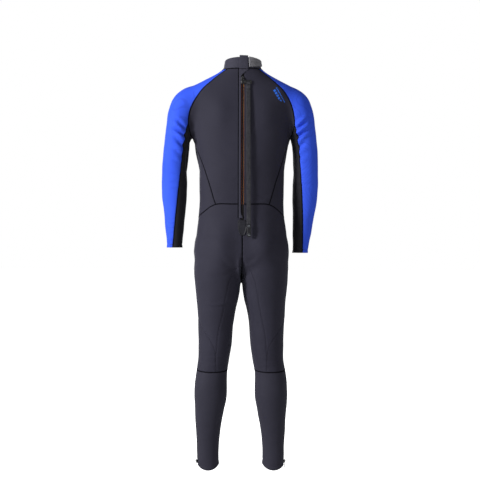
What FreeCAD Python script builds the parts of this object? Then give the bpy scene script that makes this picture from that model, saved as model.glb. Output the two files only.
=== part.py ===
import FreeCAD, Part
import math
import os

from FreeCAD import Matrix, Placement, Rotation, Vector

# A full-length wetsuit with a back zip, raglan sleeves and ankle zips, in millimetres.
# +X is the wearer's left, +Y the back, +Z up. Heights are measured from the leg hems
# while the model is built, and save() lowers everything so that the middle of the neck
# opening is the origin.

NECK_HEIGHT = 1432.0
NECK_MIDDLE = 11.0  # of the neck opening, behind the middle of the torso
FABRIC = 3.0  # thickness of the neoprene
SEAM_GAP = 0.75  # from a panel's edge to its seam line

# The back zip lies on one straight line down the spine.
ZIP_TOP = 1392.0
ZIP_BOTTOM = 868.0
ZIP_TOP_DEPTH = 72.0
ZIP_LEAN = 0.06
ZIP_EDGE = 5.0  # from the middle of the zip to the edge of the neoprene
COIL_WIDTH = 2.1
COIL_HIGH = 2.3
TAPE_WIDTH = 13.0
TAPE_THICK = 0.7
SLIDER_REST = 1368.0
FLAP_IN = 24.0  # half width of the flap behind the zip
PLACKET_EDGE = 6.0  # clear of the slider

# Height, half width and front of the torso, from the crotch to the top of the collar.
TORSO = [
    (660, 160, -92),
    (730, 164, -96),
    (779, 163, -95),
    (835, 157.5, -91),
    (891, 150.5, -86),
    (933, 148.5, -85),
    (1003, 149, -90),
    (1059, 149.5, -99),
    (1115, 158, -109),
    (1150, 165.5, -114),
    (1165, 169, -115),
    (1213, 177, -116),
    (1255, 186, -113),
    (1297, 196, -104),
    (1325, 199, -94),
    (1339, 188, -86),
    (1353, 164, -77),
    (1367, 137, -68),
    (1381, 110, -59),
    (1395, 85, -51),
    (1407, 69, -47),
    (1423, 64, -45),
    (1460, 61, -43),
]
# Height, outer edge, inner edge, back and front of the left arm.
ARM = [
    (760, 246, 193, 8, -47),
    (779, 247, 193.5, 10, -49),
    (807, 250, 192.5, 14, -51),
    (835, 255.5, 190.5, 18, -54),
    (891, 262.5, 188, 26, -56),
    (947, 271, 185.5, 33, -56),
    (1003, 274, 184.5, 38, -54),
    (1059, 273, 186.5, 41, -54),
    (1115, 270, 183, 43, -55),
    (1150, 266.5, 177.5, 44.5, -56),
    (1165, 265, 175, 45, -56),
    (1213, 259, 165, 47, -57),
    (1255, 253.5, 152, 48, -57),
    (1297, 241, 135, 47, -54),
    (1360, 215, 115, 45, -50),
]
# Height, outer edge, inner edge, back and front of the left leg.
LEG = [
    (-20, 152, 76, 47, -42),
    (23, 153.5, 76.5, 45, -41),
    (93, 155, 75, 46, -42),
    (149, 158, 69, 53, -46),
    (205, 161, 58.5, 63, -49),
    (261, 164, 48.5, 70, -52),
    (317, 161, 48.5, 69, -56),
    (345, 157, 47.5, 66, -59),
    (387, 150.5, 40.5, 66, -62),
    (443, 149.5, 32, 70, -66),
    (513, 152, 27.5, 76, -72),
    (569, 155, 17, 84, -78),
    (599, 157.5, 9.8, 89, -81),
    (625, 160.5, 6, 93, -84),
    (650, 163, 3.6, 96.5, -86),
    (667, 164.5, -1, 99, -88),
    (730, 165, -12, 103, -91),
    (790, 157, -26, 103, -89),
    (850, 150, -40, 98, -80),
]
ARM_TOP = (1290.0, 1352.0)  # where the arm starts to close, and where it ends
LEG_TOP = (790.0, 856.0)
TORSO_END = (775.0, 676.0)
LEG_SOFT, HIP_SOFT = 8.0, 22.0  # how far limbs round into each other
ARM_SOFT = (12.0, 24.0)  # at the armpit and at the shoulder
ARMPIT = (1175.0, 1250.0)  # between which heights the arm's softness grows
CUFF = 768.0
BELOW_CUFF = 60.0  # how far the arm's surface goes on past the cuff, for its edge
HEM_SIDE = 20.0  # how much higher the leg hems are all round than at the back

# Swellings of the body: height, distance from the middle, spread across, spread up,
# amount, and whether it is on the back.
SWELLINGS = [
    (792, 74, 40, 78, 13.0, True),  # seat
    (1250, 84, 36, 64, 8.0, True),  # shoulder blades
    (1225, 72, 44, 52, 8.0, False),  # chest
    (395, 96, 30, 42, 5.0, False),  # knees
]

# Ankle zips, on the outer side of each leg.
ANKLE_ANGLE = 14.0  # towards the back from straight out
ANKLE_LOW = 25.0
ANKLE_HIGH = 166.0
ANKLE_EDGE = 5.2  # from the middle of the slit to its edges
SLIT_TAPER = 60.0  # over which the slit above an ankle zip closes into a seam

COLLAR_SEAM = (1404.0, 1385.0)  # height at the back and at the front
COLLAR_TOP = (1444.0, 1420.0)
COLLAR_END = 7.0  # from the middle of the back to each end of the collar
TAB_THICK = 3.4

LEASH_WIDTH = 15.0
LEASH_THICK = 1.6


# ---------------------------------------------------------------- body surface


def curve_through(rows, column):
    """A smooth function of height through one column of a table of rows."""
    xs = [float(r[0]) for r in rows]
    ys = [float(r[column]) for r in rows]
    secants = [(ys[i + 1] - ys[i]) / (xs[i + 1] - xs[i]) for i in range(len(xs) - 1)]
    slopes = [secants[0]]
    for i in range(1, len(xs) - 1):
        before, after = xs[i] - xs[i - 1], xs[i + 1] - xs[i]
        slopes.append((secants[i - 1] * after + secants[i] * before) / (before + after))
    slopes.append(secants[-1])

    def value(x):
        if x <= xs[0]:
            return ys[0] + slopes[0] * (x - xs[0])
        if x >= xs[-1]:
            return ys[-1]
        i = 0
        while x > xs[i + 1]:
            i += 1
        span = xs[i + 1] - xs[i]
        t = (x - xs[i]) / span
        a = (1 + 2 * t) * (1 - t) ** 2
        b = t * (1 - t) ** 2
        c = t * t * (3 - 2 * t)
        d = t * t * (t - 1)
        return a * ys[i] + b * span * slopes[i] + c * ys[i + 1] + d * span * slopes[i + 1]

    return value


def zip_depth(height):
    """How far back the straight line of the zip is at a height."""
    return ZIP_TOP_DEPTH + (ZIP_TOP - height) * ZIP_LEAN


torso_half, torso_front = curve_through(TORSO, 1), curve_through(TORSO, 2)
arm_out, arm_in, arm_back, arm_front = [curve_through(ARM, c) for c in (1, 2, 3, 4)]
leg_out, leg_in, leg_back, leg_front = [curve_through(LEG, c) for c in (1, 2, 3, 4)]


def dome(height, start, end):
    """1 before start, falling like a dome to nearly nothing at end."""
    t = (height - start) / (end - start)
    if t <= 0:
        return 1.0
    return math.sqrt(max(1 - t * t, 0.0004))


def fade(height, start, end):
    """0 before start, rising to 1 at end, so that a limb lets go of the torso."""
    return min(max((height - start) / (end - start), 0.0), 1.0) ** 4


def torso_ring(height):
    """Centre x, centre y, half width and half depth of the torso at a height."""
    back, front = zip_depth(height), torso_front(height)
    close = dome(height, *TORSO_END)
    return 0.0, (back + front) / 2, torso_half(height) * close, (back - front) / 2 * close


def arm_ring(height):
    out, inner = arm_out(height), arm_in(height)
    back, front = arm_back(height), arm_front(height)
    close = dome(height, *ARM_TOP)
    return (out + inner) / 2, (back + front) / 2, (out - inner) / 2 * close, (back - front) / 2 * close


def leg_ring(height):
    out, inner = leg_out(height), leg_in(height)
    back, front = leg_back(height), leg_front(height)
    close = dome(height, *LEG_TOP)
    return (out + inner) / 2, (back + front) / 2, (out - inner) / 2 * close, (back - front) / 2 * close


def from_ring(x, y, ring, power):
    """How far a point is outside a ring; less than 0 inside it."""
    cx, cy, half_width, half_depth = ring
    dx, dy = abs(x - cx), abs(y - cy)
    away = math.hypot(dx, dy)
    if away < 1e-6:
        return -min(half_width, half_depth)
    share = ((dx / half_width) ** power + (dy / half_depth) ** power) ** (1 / power)
    return away * (1 - 1 / share)


def blend(a, b, softness):
    """The smaller of two distances, rounded where they are about the same."""
    h = max(softness - abs(a - b), 0.0) / softness
    return min(a, b) - h * h * softness / 4


def arm_softness(height):
    share = min(max((height - ARMPIT[0]) / (ARMPIT[1] - ARMPIT[0]), 0.0), 1.0)
    return ARM_SOFT[0] + (ARM_SOFT[1] - ARM_SOFT[0]) * share * share * (3 - 2 * share)


def swelling(x, y, height):
    total = 0.0
    for at, out, across, up, amount, behind in SWELLINGS:
        side = y if behind else -y
        if side > 0:
            near = ((abs(x) - out) / across) ** 2 + ((height - at) / up) ** 2
            if near < 9:
                total += amount * math.exp(-near) * min(side / 30.0, 1.0)
    return total


def outside(x, y, z):
    """How far a point is outside the body; the suit's outer surface is where this is 0."""
    distance = 1e3
    if z > TORSO_END[1]:
        distance = from_ring(x, y, torso_ring(z), 2.35)
    if z < LEG_TOP[1]:
        ring = leg_ring(z)
        legs = blend(from_ring(x, y, ring, 2.1), from_ring(-x, y, ring, 2.1), LEG_SOFT)
        distance = blend(distance, legs + HIP_SOFT * fade(z, *LEG_TOP), HIP_SOFT)
    if CUFF - BELOW_CUFF < z < ARM_TOP[1]:
        soft = arm_softness(z)
        arm = from_ring(abs(x), y, arm_ring(z), 2.1)
        distance = blend(distance, arm + soft * fade(z, *ARM_TOP), soft)
    return distance - swelling(x, y, z)


def outward(p):
    """The direction straight out of the surface near a point."""
    e = 0.4
    g = Vector(
        outside(p.x + e, p.y, p.z) - outside(p.x - e, p.y, p.z),
        outside(p.x, p.y + e, p.z) - outside(p.x, p.y - e, p.z),
        outside(p.x, p.y, p.z + e) - outside(p.x, p.y, p.z - e),
    )
    return g.multiply(1 / max(g.Length, 1e-9)), g.Length / (2 * e)


def onto_surface(p):
    """The point of the surface that a nearby point comes to, straight in or out."""
    p = Vector(p)
    for _ in range(7):
        off = outside(p.x, p.y, p.z)
        if abs(off) < 0.003:
            break
        direction, steepness = outward(p)
        p = p - direction * (off / max(steepness, 0.35))
    return p


def first_crossing(start, direction, reach, step=4.0):
    """Where a line that starts inside or outside the body first crosses its surface."""
    inside_first = outside(start.x, start.y, start.z) < 0
    near, far = 0.0, step
    while far < reach:
        p = start + direction * far
        if (outside(p.x, p.y, p.z) < 0) != inside_first:
            break
        near, far = far, far + step
    for _ in range(26):
        middle = (near + far) / 2
        p = start + direction * middle
        if (outside(p.x, p.y, p.z) < 0) != inside_first:
            far = middle
        else:
            near = middle
    return start + direction * far


def behind(x, height):
    """The point of the back at x and a height."""
    return first_crossing(Vector(x, 260, height), Vector(0, -1, 0), 420)


def before(x, height):
    """The point of the front at x and a height."""
    return first_crossing(Vector(x, -260, height), Vector(0, 1, 0), 420)


def around(ring, angle, height):
    """The point of the surface at an angle round a limb: 0 is +X and 90 is the back."""
    cx, cy = ring(height)[:2]
    a = math.radians(angle)
    return first_crossing(Vector(cx, cy, height), Vector(math.cos(a), math.sin(a), 0), 320)


# ---------------------------------------------------------------- seams and panels


def seam(points, steps=10):
    """A fine line on the surface, smooth through some points of it."""
    if len(points) > 2:
        spline = Part.BSplineCurve()
        spline.interpolate(points)
        count = steps * (len(points) - 1)
        first, last = spline.FirstParameter, spline.LastParameter
        fine = [spline.value(first + (last - first) * i / count) for i in range(count + 1)]
    else:
        fine = [points[0] + (points[1] - points[0]) * (i / steps) for i in range(steps + 1)]
    inner = [onto_surface(p) for p in fine[1:-1]]
    return [points[0]] + inner + [points[-1]]


def lengths(line):
    """The distance along a line to each of its points."""
    out = [0.0]
    for a, b in zip(line, line[1:]):
        out.append(out[-1] + (b - a).Length)
    return out


def at(line, share):
    """The point at a share of a line's length."""
    along = lengths(line)
    want = share * along[-1]
    i = 0
    while i < len(line) - 2 and along[i + 1] < want:
        i += 1
    t = (want - along[i]) / max(along[i + 1] - along[i], 1e-9)
    return line[i] + (line[i + 1] - line[i]) * t


def part_of(line, start, end):
    """The stretch of a line between two shares of its length."""
    along = lengths(line)
    inner = [p for p, d in zip(line, along) if start < d / along[-1] < end]
    return [at(line, start)] + inner + [at(line, end)]


def nearest_share(line, point):
    """The share of a line's length at which it is nearest to a point."""
    along = lengths(line)
    best = min(range(len(line)), key=lambda i: (line[i] - point).Length)
    return along[best] / along[-1]


def patch(top, bottom, left, right, across, down, inset_left, inset_right):
    """Rows of surface points between four lines, each edge kept SEAM_GAP inside them."""
    width = max(min(lengths(top)[-1], lengths(bottom)[-1]), 2 * SEAM_GAP + 0.1)
    height = min(lengths(left)[-1], lengths(right)[-1])
    rows = []
    for i in range(down + 1):
        v = SEAM_GAP / height + (1 - 2 * SEAM_GAP / height) * i / down
        near, far = at(left, v), at(right, v)
        across_here = max((far - near).Length, width, 2.0)
        low = SEAM_GAP / across_here if inset_left else 0.0
        high = SEAM_GAP / across_here if inset_right else 0.0
        row = []
        for j in range(across + 1):
            u = low + (1 - low - high) * j / across
            ruled = at(top, u) * (1 - v) + at(bottom, u) * v
            sides = near * (1 - u) + far * u
            corners = (top[0] * (1 - u) + top[-1] * u) * (1 - v)
            corners += (bottom[0] * (1 - u) + bottom[-1] * u) * v
            row.append(onto_surface(ruled + sides - corners))
        rows.append(row)
    return rows


def grid(rails, tops, bottoms, across, down):
    """Rows of surface points of a panel that hangs between several lines down it."""
    rows = [[] for _ in range(down + 1)]
    last = len(rails) - 2
    for k, (left, right) in enumerate(zip(rails, rails[1:])):
        new = patch(tops[k], bottoms[k], left, right, across, down, k == 0, k == last)
        for row, more in zip(rows, new):
            row += more if k == 0 else more[1:]
    return rows


def moved_out(rows, distance):
    """The same grid, moved straight out of the surface."""
    return [[p + outward(p)[0] * distance for p in row] for row in rows]


def smooth_surface(rows):
    surface = Part.BSplineSurface()
    surface.interpolate(rows)
    return surface


def rim(surface):
    """The four edges of a surface, always in the same order."""
    u0, u1, v0, v1 = surface.bounds()
    return [surface.uIso(u0), surface.uIso(u1), surface.vIso(v0), surface.vIso(v1)]


def band(a, b):
    """The narrow face between two matching curves, without a twist."""
    far = b.toShape()
    both = [Part.makeRuledSurface(a.toShape(), edge) for edge in (far, far.reversed())]
    return min(both, key=lambda face: face.Area)


def slab(rows, outer, inner):
    """A solid sheet that follows a grid, from one distance out of it to another."""
    top, bottom = (smooth_surface(moved_out(rows, d)) for d in (outer, inner))
    faces = [top.toShape(), bottom.toShape()]
    faces += [band(a, b) for a, b in zip(rim(top), rim(bottom))]
    shell = Part.makeShell(faces)
    shell.sewShape()
    solid = Part.Solid(shell)
    if solid.Volume < 0:
        solid.reverse()
    return solid


def panel(rails, tops, bottoms, across=6, down=12, outer=0.0, inner=-FABRIC):
    return slab(grid(rails, tops, bottoms, across, down), outer, inner)


def mirrored(shape):
    return shape.mirror(Vector(0, 0, 0), Vector(1, 0, 0))


def flipped(line):
    """The same line on the other side of the body."""
    return [Vector(-p.x, p.y, p.z) for p in line]


NODES = {}


def save(name, shape):
    """Writes one sub-part, moved so that the middle of the neck opening is the origin."""
    node = shape.copy()
    node.translate(Vector(0, -NECK_MIDDLE, -NECK_HEIGHT))
    NODES[name] = node
    node.exportStep(os.path.join("parts", name + ".step"))


def save_pair(name, shape):
    save(name + "_left", shape)
    save(name + "_right", mirrored(shape))


# ---------------------------------------------------------------- seam lines (wearer's left)


def seam_height(angle):
    """Height of the collar seam round the neck: level at the back, lower in front."""
    forward = max(0.0, -math.sin(math.radians(angle)))
    return COLLAR_SEAM[0] - (COLLAR_SEAM[0] - COLLAR_SEAM[1]) * forward ** 2


def collar_height(angle):
    back, front = COLLAR_TOP
    return (back + front) / 2 + (back - front) / 2 * math.sin(math.radians(angle))


def ring_line(ring, start, end, height, turns=8):
    """A line round a limb between two angles, at a height that depends on the angle."""
    angles = [start + (end - start) * i / turns for i in range(turns + 1)]
    return seam([around(ring, a, height(a)) for a in angles], 4)


def collar_seam(start, end, turns=6):
    return ring_line(torso_ring, start, end, seam_height, turns)


def knee_height(angle):
    return 352 - 7 * math.sin(math.radians(angle))


def hem_height(angle):
    """Height of a leg hem at an angle round the leg: it dips at the back."""
    turn = math.radians(angle)
    return HEM_SIDE * (math.cos(turn) ** 2 if math.sin(turn) > 0 else 1.0)


def level(height):
    return lambda angle: height


NECK_BACK = 86.0  # angles round the neck
RAGLAN_BACK = 40.0
SHOULDER = -8.0
RAGLAN_FRONT = -38.0
CUFF_BACK = 78.0  # angles round the cuff
CUFF_FRONT = -82.0

armpit = onto_surface(Vector(173, -4, 1174))
raglan = seam(
    [around(torso_ring, RAGLAN_BACK, seam_height(RAGLAN_BACK))]
    + [behind(x, z) for x, z in ((80, 1386), (102, 1368), (132, 1341), (157, 1309), (173, 1275))]
    + [behind(x, z) for x, z in ((181, 1243), (183, 1217), (180, 1193))]
    + [armpit]
    + [before(x, z) for x, z in ((177, 1200), (174, 1226), (164, 1266), (146, 1305))]
    + [before(x, z) for x, z in ((118, 1340), (90, 1366))]
    + [around(torso_ring, RAGLAN_FRONT, seam_height(RAGLAN_FRONT))]
)
at_armpit = nearest_share(raglan, armpit)
armpit = at(raglan, at_armpit)
blue_back = nearest_share(raglan, behind(183, 1215))
blue_front = nearest_share(raglan, before(175, 1216))
side_back = nearest_share(raglan, behind(179, 1189))
side_front = nearest_share(raglan, before(176.5, 1195))

sleeve_back = seam(
    [at(raglan, blue_back)]
    + [behind(x, z) for x, z in ((193, 1170), (203, 1095), (210, 1020), (216, 950), (221, 873))]
    + [around(arm_ring, CUFF_BACK, CUFF)]
)
sleeve_front = seam(
    [at(raglan, blue_front)]
    + [before(x, z) for x, z in ((185, 1188), (193, 1150), (202, 1095), (208, 1020), (213, 950))]
    + [before(218, 873)]
    + [around(arm_ring, CUFF_FRONT, CUFF)]
)
shoulder_line = seam(
    [around(torso_ring, SHOULDER, seam_height(SHOULDER))]
    + [around(torso_ring, -6, z) for z in (1381, 1355, 1332)]
    + [around(arm_ring, 22, 1300), around(arm_ring, 8, 1255)]
    + [around(arm_ring, 0, z) for z in (1180, 1060, 910)]
    + [around(arm_ring, 0, CUFF)]
)
underarm_line = seam(
    [armpit]
    + [around(arm_ring, 180, z) for z in (1140, 1060, 970, 870)]
    + [around(arm_ring, 180, CUFF)]
)

waist = seam(
    [behind(x, z) for x, z in ((ZIP_EDGE, 931), (50, 931), (94, 929), (138, 900))]
    + [around(torso_ring, -8, 884)]
    + [before(x, z) for x, z in ((112, 882), (60, 890), (0, 896))],
    14,
)
waist_back = nearest_share(waist, behind(94, 929))
waist_side = nearest_share(waist, around(torso_ring, -8, 884))
waist_front = nearest_share(waist, before(104, 883))

zip_edge = seam(
    [around(torso_ring, NECK_BACK, seam_height(NECK_BACK))]
    + [behind(ZIP_EDGE, z) for z in (1380, 1300, 1200, 1100, 1000)]
    + [waist[0]]
)
side_seam_back = seam(
    [at(raglan, side_back)]
    + [behind(x, z) for x, z in ((163, 1145), (151, 1108), (134, 1060), (117, 1010), (104, 965))]
    + [at(waist, waist_back)]
)
side_seam_front = seam(
    [at(raglan, side_front)]
    + [before(x, z) for x, z in ((162, 1150), (150, 1110), (136, 1060), (121, 1000), (110, 940))]
    + [at(waist, waist_front)]
)
side_line = seam(
    [armpit]
    + [around(torso_ring, 0, z) for z in (1135, 1060, 990, 930)]
    + [at(waist, waist_side)]
)
chest_line = seam(
    [around(torso_ring, -90, seam_height(-90))]
    + [before(0, z) for z in (1340, 1260, 1160, 1060, 960)]
    + [waist[-1]]
)

crotch_bottom = onto_surface(Vector(0.3, 4, 657))
crotch_back = behind(0.3, 722)
crotch_front = before(0.3, 735)
crotch = seam(
    [crotch_back, behind(0.3, 700), behind(0.3, 677), crotch_bottom]
    + [before(0.3, 677), before(0.3, 705), crotch_front]
)
at_bottom = nearest_share(crotch, crotch_bottom)
crotch_bottom = at(crotch, at_bottom)
seat_seam = seam(
    [waist[0]]
    + [behind(ZIP_EDGE, 905), behind(ZIP_EDGE, 885), behind(4.4, 866)]
    + [behind(x, z) for x, z in ((2.6, 848), (1.3, 832), (0.8, 815), (0.7, 795), (0.5, 755))]
    + [crotch_back]
)
belly_seam = seam([waist[-1], before(0.3, 840), before(0.3, 780), crotch_front])
thigh_seam_back = seam(
    [crotch_back]
    + [behind(x, z) for x, z in ((22, 706), (42, 668), (55, 611), (68, 541), (83, 468))]
    + [behind(87, 415)]
)
knee_split = around(leg_ring, 104, knee_height(104))
knee_seam_back = seam([behind(89, 415), behind(89.5, 382), knee_split])
inner_seam_back = thigh_seam_back[:-1] + knee_seam_back
knee_end = around(leg_ring, -109, knee_height(-109))
inner_seam_front = seam(
    [crotch_front]
    + [before(x, z) for x, z in ((24, 706), (46, 650), (61, 580), (73, 500), (80, 430))]
    + [knee_end]
)
inner_line = seam(
    [crotch_bottom]
    + [around(leg_ring, 180, z) for z in (590, 520, 440)]
    + [around(leg_ring, 180, knee_height(180))]
)
knee_top_front = nearest_share(inner_seam_front, before(75, 487))
outer_turn = around(leg_ring, 4, 532)
outer_seam = seam(
    [at(waist, waist_side)]
    + [around(leg_ring, angle, z) for angle, z in ((-14, 800), (-13, 710), (-8, 620))]
    + [outer_turn]
)
seat_line = seam(
    [at(waist, waist_back * 0.9)]
    + [behind(x, z) for x, z in ((88, 800), (88, 700), (92, 600), (97, 510), (93, 455))]
    + [behind(89, 415)]
)
knee_arch = seam(
    [behind(x, z) for x, z in ((91, 415), (99, 440), (121, 476), (141, 507))]
    + [outer_turn]
    + [around(leg_ring, angle, z) for angle, z in ((-30, 524), (-60, 506), (-90, 493))]
    + [at(inner_seam_front, knee_top_front)]
)
at_turn = nearest_share(knee_arch, outer_turn)
outer_turn = at(knee_arch, at_turn)
outer_seam[-1] = outer_turn
outer_sweep = part_of(knee_arch, 0, at_turn)[::-1]
knee_top = part_of(knee_arch, at_turn, 1)
at_knee_front = nearest_share(knee_top, around(leg_ring, -90, 493))
belly_line = seam(
    [at(waist, (waist_side + 1) / 2)]
    + [before(x, z) for x, z in ((84, 780), (90, 660), (93, 560))]
    + [at(knee_top, at_knee_front)]
)


def down_leg(angle, start=None):
    """A line down the lower leg from the knee seam to the hem."""
    heights = (310, 270, 230, 205, 185, 166, 120, 60)
    turn = angle if callable(angle) else level(angle)
    top = turn(knee_height(0))
    low = turn(0)
    return seam(
        [around(leg_ring, top, knee_height(top))]
        + [around(leg_ring, turn(z), z) for z in heights]
        + [around(leg_ring, low, hem_height(low))]
    )


def beside_zip(height):
    """How many degrees the edge of the ankle slit is from its middle."""
    slit = math.degrees(ANKLE_EDGE / 42)
    above = min(max((height - ANKLE_HIGH) / SLIT_TAPER, 0.0), 1.0)
    return slit * (1 + math.cos(math.pi * above)) / 2


def slit_back(height):
    return ANKLE_ANGLE + beside_zip(height)


def slit_front(height):
    return ANKLE_ANGLE - beside_zip(height)


# ---------------------------------------------------------------- neoprene panels


def back_panel():
    outer = part_of(raglan, 0, side_back) + side_seam_back[1:]
    top, bottom = collar_seam(NECK_BACK, RAGLAN_BACK), part_of(waist, 0, waist_back)
    return panel([zip_edge, outer], [top], [bottom], across=12, down=30)


def side_panel():
    tops = [part_of(raglan, side_back, at_armpit), part_of(raglan, at_armpit, side_front)]
    bottoms = [part_of(waist, waist_back, waist_side), part_of(waist, waist_side, waist_front)]
    return panel([side_seam_back, side_line, side_seam_front], tops, bottoms, across=5)


def chest_panel():
    outer = part_of(raglan, side_front, 1)[::-1] + side_seam_front[1:]
    top, bottom = collar_seam(RAGLAN_FRONT, -90), part_of(waist, waist_front, 1)
    rails = [outer, chest_line, flipped(outer)]
    tops = [top, flipped(top)[::-1]]
    bottoms = [bottom, flipped(bottom)[::-1]]
    return panel(rails, tops, bottoms, across=12, down=30)


def sleeve():
    back = part_of(raglan, 0, blue_back) + sleeve_back[1:]
    front = part_of(raglan, blue_front, 1)[::-1] + sleeve_front[1:]
    tops = [collar_seam(RAGLAN_BACK, SHOULDER), collar_seam(SHOULDER, RAGLAN_FRONT)]
    bottoms = [
        ring_line(arm_ring, CUFF_BACK, 0, level(CUFF)),
        ring_line(arm_ring, 0, CUFF_FRONT, level(CUFF)),
    ]
    return panel([back, shoulder_line, front], tops, bottoms, across=7, down=26)


def underarm():
    tops = [part_of(raglan, blue_back, at_armpit), part_of(raglan, at_armpit, blue_front)]
    bottoms = [
        ring_line(arm_ring, CUFF_BACK, 180, level(CUFF)),
        ring_line(arm_ring, 180, 360 + CUFF_FRONT, level(CUFF)),
    ]
    return panel([sleeve_back, underarm_line, sleeve_front], tops, bottoms, across=5, down=16)


def thigh_back():
    inner = seat_seam + thigh_seam_back[1:]
    outer = outer_seam + outer_sweep[1:]
    share = waist_back * 0.9
    tops = [part_of(waist, 0, share), part_of(waist, share, waist_side)]
    bottoms = [[behind(87, 415), behind(89, 415)], [behind(89, 415), behind(91, 415)]]
    return panel([inner, seat_line, outer], tops, bottoms, across=8, down=34)


def inner_thigh():
    tops = [part_of(crotch, 0, at_bottom), part_of(crotch, at_bottom, 1)]
    bottoms = [
        ring_line(leg_ring, 104, 180, knee_height),
        ring_line(leg_ring, 180, 251, knee_height),
    ]
    return panel([inner_seam_back, inner_line, inner_seam_front], tops, bottoms, across=6, down=16)


def thigh_front():
    inner = belly_seam + part_of(inner_seam_front, 0, knee_top_front)[1:]
    share = (waist_side + 1) / 2
    tops = [part_of(waist, share, 1)[::-1], part_of(waist, waist_side, share)[::-1]]
    bottoms = [part_of(knee_top, at_knee_front, 1)[::-1], part_of(knee_top, 0, at_knee_front)[::-1]]
    return panel([inner, belly_line, outer_seam], tops, bottoms, across=7, down=18)


def knee_panel():
    side = seam([outer_turn, around(leg_ring, 2, 440), around(leg_ring, 0, knee_height(0))])
    front = seam(
        [at(knee_top, at_knee_front)]
        + [around(leg_ring, -90, z) for z in (420, knee_height(-90))]
    )
    inner = part_of(inner_seam_front, knee_top_front, 1)
    tops = [outer_sweep[::-1], part_of(knee_top, 0, at_knee_front), part_of(knee_top, at_knee_front, 1)]
    bottoms = [
        ring_line(leg_ring, 104, 0, knee_height),
        ring_line(leg_ring, 0, -90, knee_height),
        ring_line(leg_ring, -90, -109, knee_height),
    ]
    back = seam([behind(91, 415), behind(90, 382), knee_split])
    return panel([back, side, front, inner], tops, bottoms, across=6, down=9)


def lower_leg(edge, middle, inner, start):
    tops = [
        ring_line(leg_ring, start, middle, knee_height),
        ring_line(leg_ring, middle, inner, knee_height),
    ]
    low = edge(0)
    bottoms = [
        ring_line(leg_ring, low, middle, hem_height),
        ring_line(leg_ring, middle, inner, hem_height),
    ]
    rails = [down_leg(edge), down_leg(middle), down_leg(inner)]
    return panel(rails, tops, bottoms, across=7, down=26)


def collar():
    """One strip round the neck whose two ends meet above the zip."""
    end = math.degrees(math.acos(COLLAR_END / 68))
    angles = [end, 0, -90]
    rails = []
    for angle in angles:
        low, high = seam_height(angle), collar_height(angle)
        stops = [around(torso_ring, angle, low + (high - low) * t) for t in (0, 0.35, 0.7, 1)]
        rails.append(seam(stops)[::-1])
    tops = [ring_line(torso_ring, a, b, collar_height) for a, b in zip(angles, angles[1:])]
    bottoms = [collar_seam(a, b) for a, b in zip(angles, angles[1:])]
    rails += [flipped(rails[1]), flipped(rails[0])]
    tops += [flipped(t)[::-1] for t in tops[::-1]]
    bottoms += [flipped(b)[::-1] for b in bottoms[::-1]]
    return panel(rails, tops, bottoms, across=7, down=4)


def neck_patch(start, end, low, high, outer, inner, across=6, down=4):
    """A sheet round the neck; low and high give heights at its start and its end."""

    def edge(heights):
        def height(angle):
            share = (angle - start) / (end - start)
            return heights[0] + (heights[1] - heights[0]) * share

        return ring_line(torso_ring, start, end, height)

    def side(angle, bottom, top):
        return seam([around(torso_ring, angle, top + (bottom - top) * t) for t in (0, 0.5, 1)])

    rails = [side(start, low[0], high[0]), side(end, low[1], high[1])]
    return panel(rails, [edge(high)], [edge(low)], across, down, outer, inner)


def back_strip(left, right, outer, inner, across=2, down=16):
    """A sheet down the spine between two lists of (x, height) points."""
    rails = [seam([behind(x, z) for x, z in side]) for side in (left, right)]
    tops = [seam([rails[0][0], rails[1][0]])]
    bottoms = [seam([rails[0][-1], rails[1][-1]])]
    return panel(rails, tops, bottoms, across, down, outer, inner)


def panels():
    save_pair("back_panel", back_panel())
    save_pair("side_panel", side_panel())
    save("chest_panel", chest_panel())
    save_pair("sleeve", sleeve())
    save_pair("underarm", underarm())
    save_pair("thigh_back", thigh_back())
    save_pair("inner_thigh", inner_thigh())
    save_pair("thigh_front", thigh_front())
    save_pair("knee_panel", knee_panel())
    save_pair("calf", lower_leg(slit_back, 95, 180, ANKLE_ANGLE))
    save_pair("shin", lower_leg(slit_front, -90, -180, ANKLE_ANGLE))
    save("collar", collar())


# ---------------------------------------------------------------- back zip and collar closure

# Local axes of the zip: X across, Y straight out of the fabric, Z up along the zip, with
# the origin on the fabric at the slider.
ZIP_TILT = math.degrees(math.atan(ZIP_LEAN))
ZIP_FRAME = Placement(
    Vector(0, zip_depth(SLIDER_REST), SLIDER_REST), Rotation(Vector(1, 0, 0), ZIP_TILT)
)


def along_zip(height):
    """The local Z of a height on the zip line."""
    return (height - SLIDER_REST) / math.cos(math.radians(ZIP_TILT))


def block(x0, x1, y0, y1, z0, z1):
    return Part.makeBox(x1 - x0, y1 - y0, z1 - z0, Vector(x0, y0, z0))


def placed(shape, frame):
    out = shape.copy()
    out.Placement = frame.multiply(out.Placement)
    return out


def rounded_plate(x0, x1, y0, y1, z0, z1, radius):
    """A plate whose thickness is along Y and whose four corners are round."""
    plate = block(x0, x1, y0, y1, z0, z1)
    edges = [e for e in plate.Edges if abs(e.Vertexes[0].Y - e.Vertexes[-1].Y) > 1e-6]
    return plate.makeFillet(radius, edges)


def bar(x0, x1, y, z, radius):
    """A round bar along X."""
    return Part.makeCylinder(radius, x1 - x0, Vector(x0, y, z), Vector(1, 0, 0))


def slider_body(width, length, top, skirt):
    """A zip slider: a plate over the coils, two side walls and an arch for the puller."""
    plate = rounded_plate(-width / 2, width / 2, 0.35, top, -length / 2, length / 2, width * 0.3)
    wall = 1.1
    for side in (-1, 1):
        x = side * (width / 2 - wall / 2)
        plate = plate.fuse(
            block(x - wall / 2, x + wall / 2, skirt, top - 0.4, -length * 0.2, length * 0.2)
        )
    arch = block(-1.4, 1.4, top - 0.3, top + 4.2, -4.2, 4.2)
    arch = arch.cut(block(-1.5, 1.5, top + 0.1, top + 2.7, -2.7, 2.7))
    return plate.fuse(arch).removeSplitter()


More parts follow.
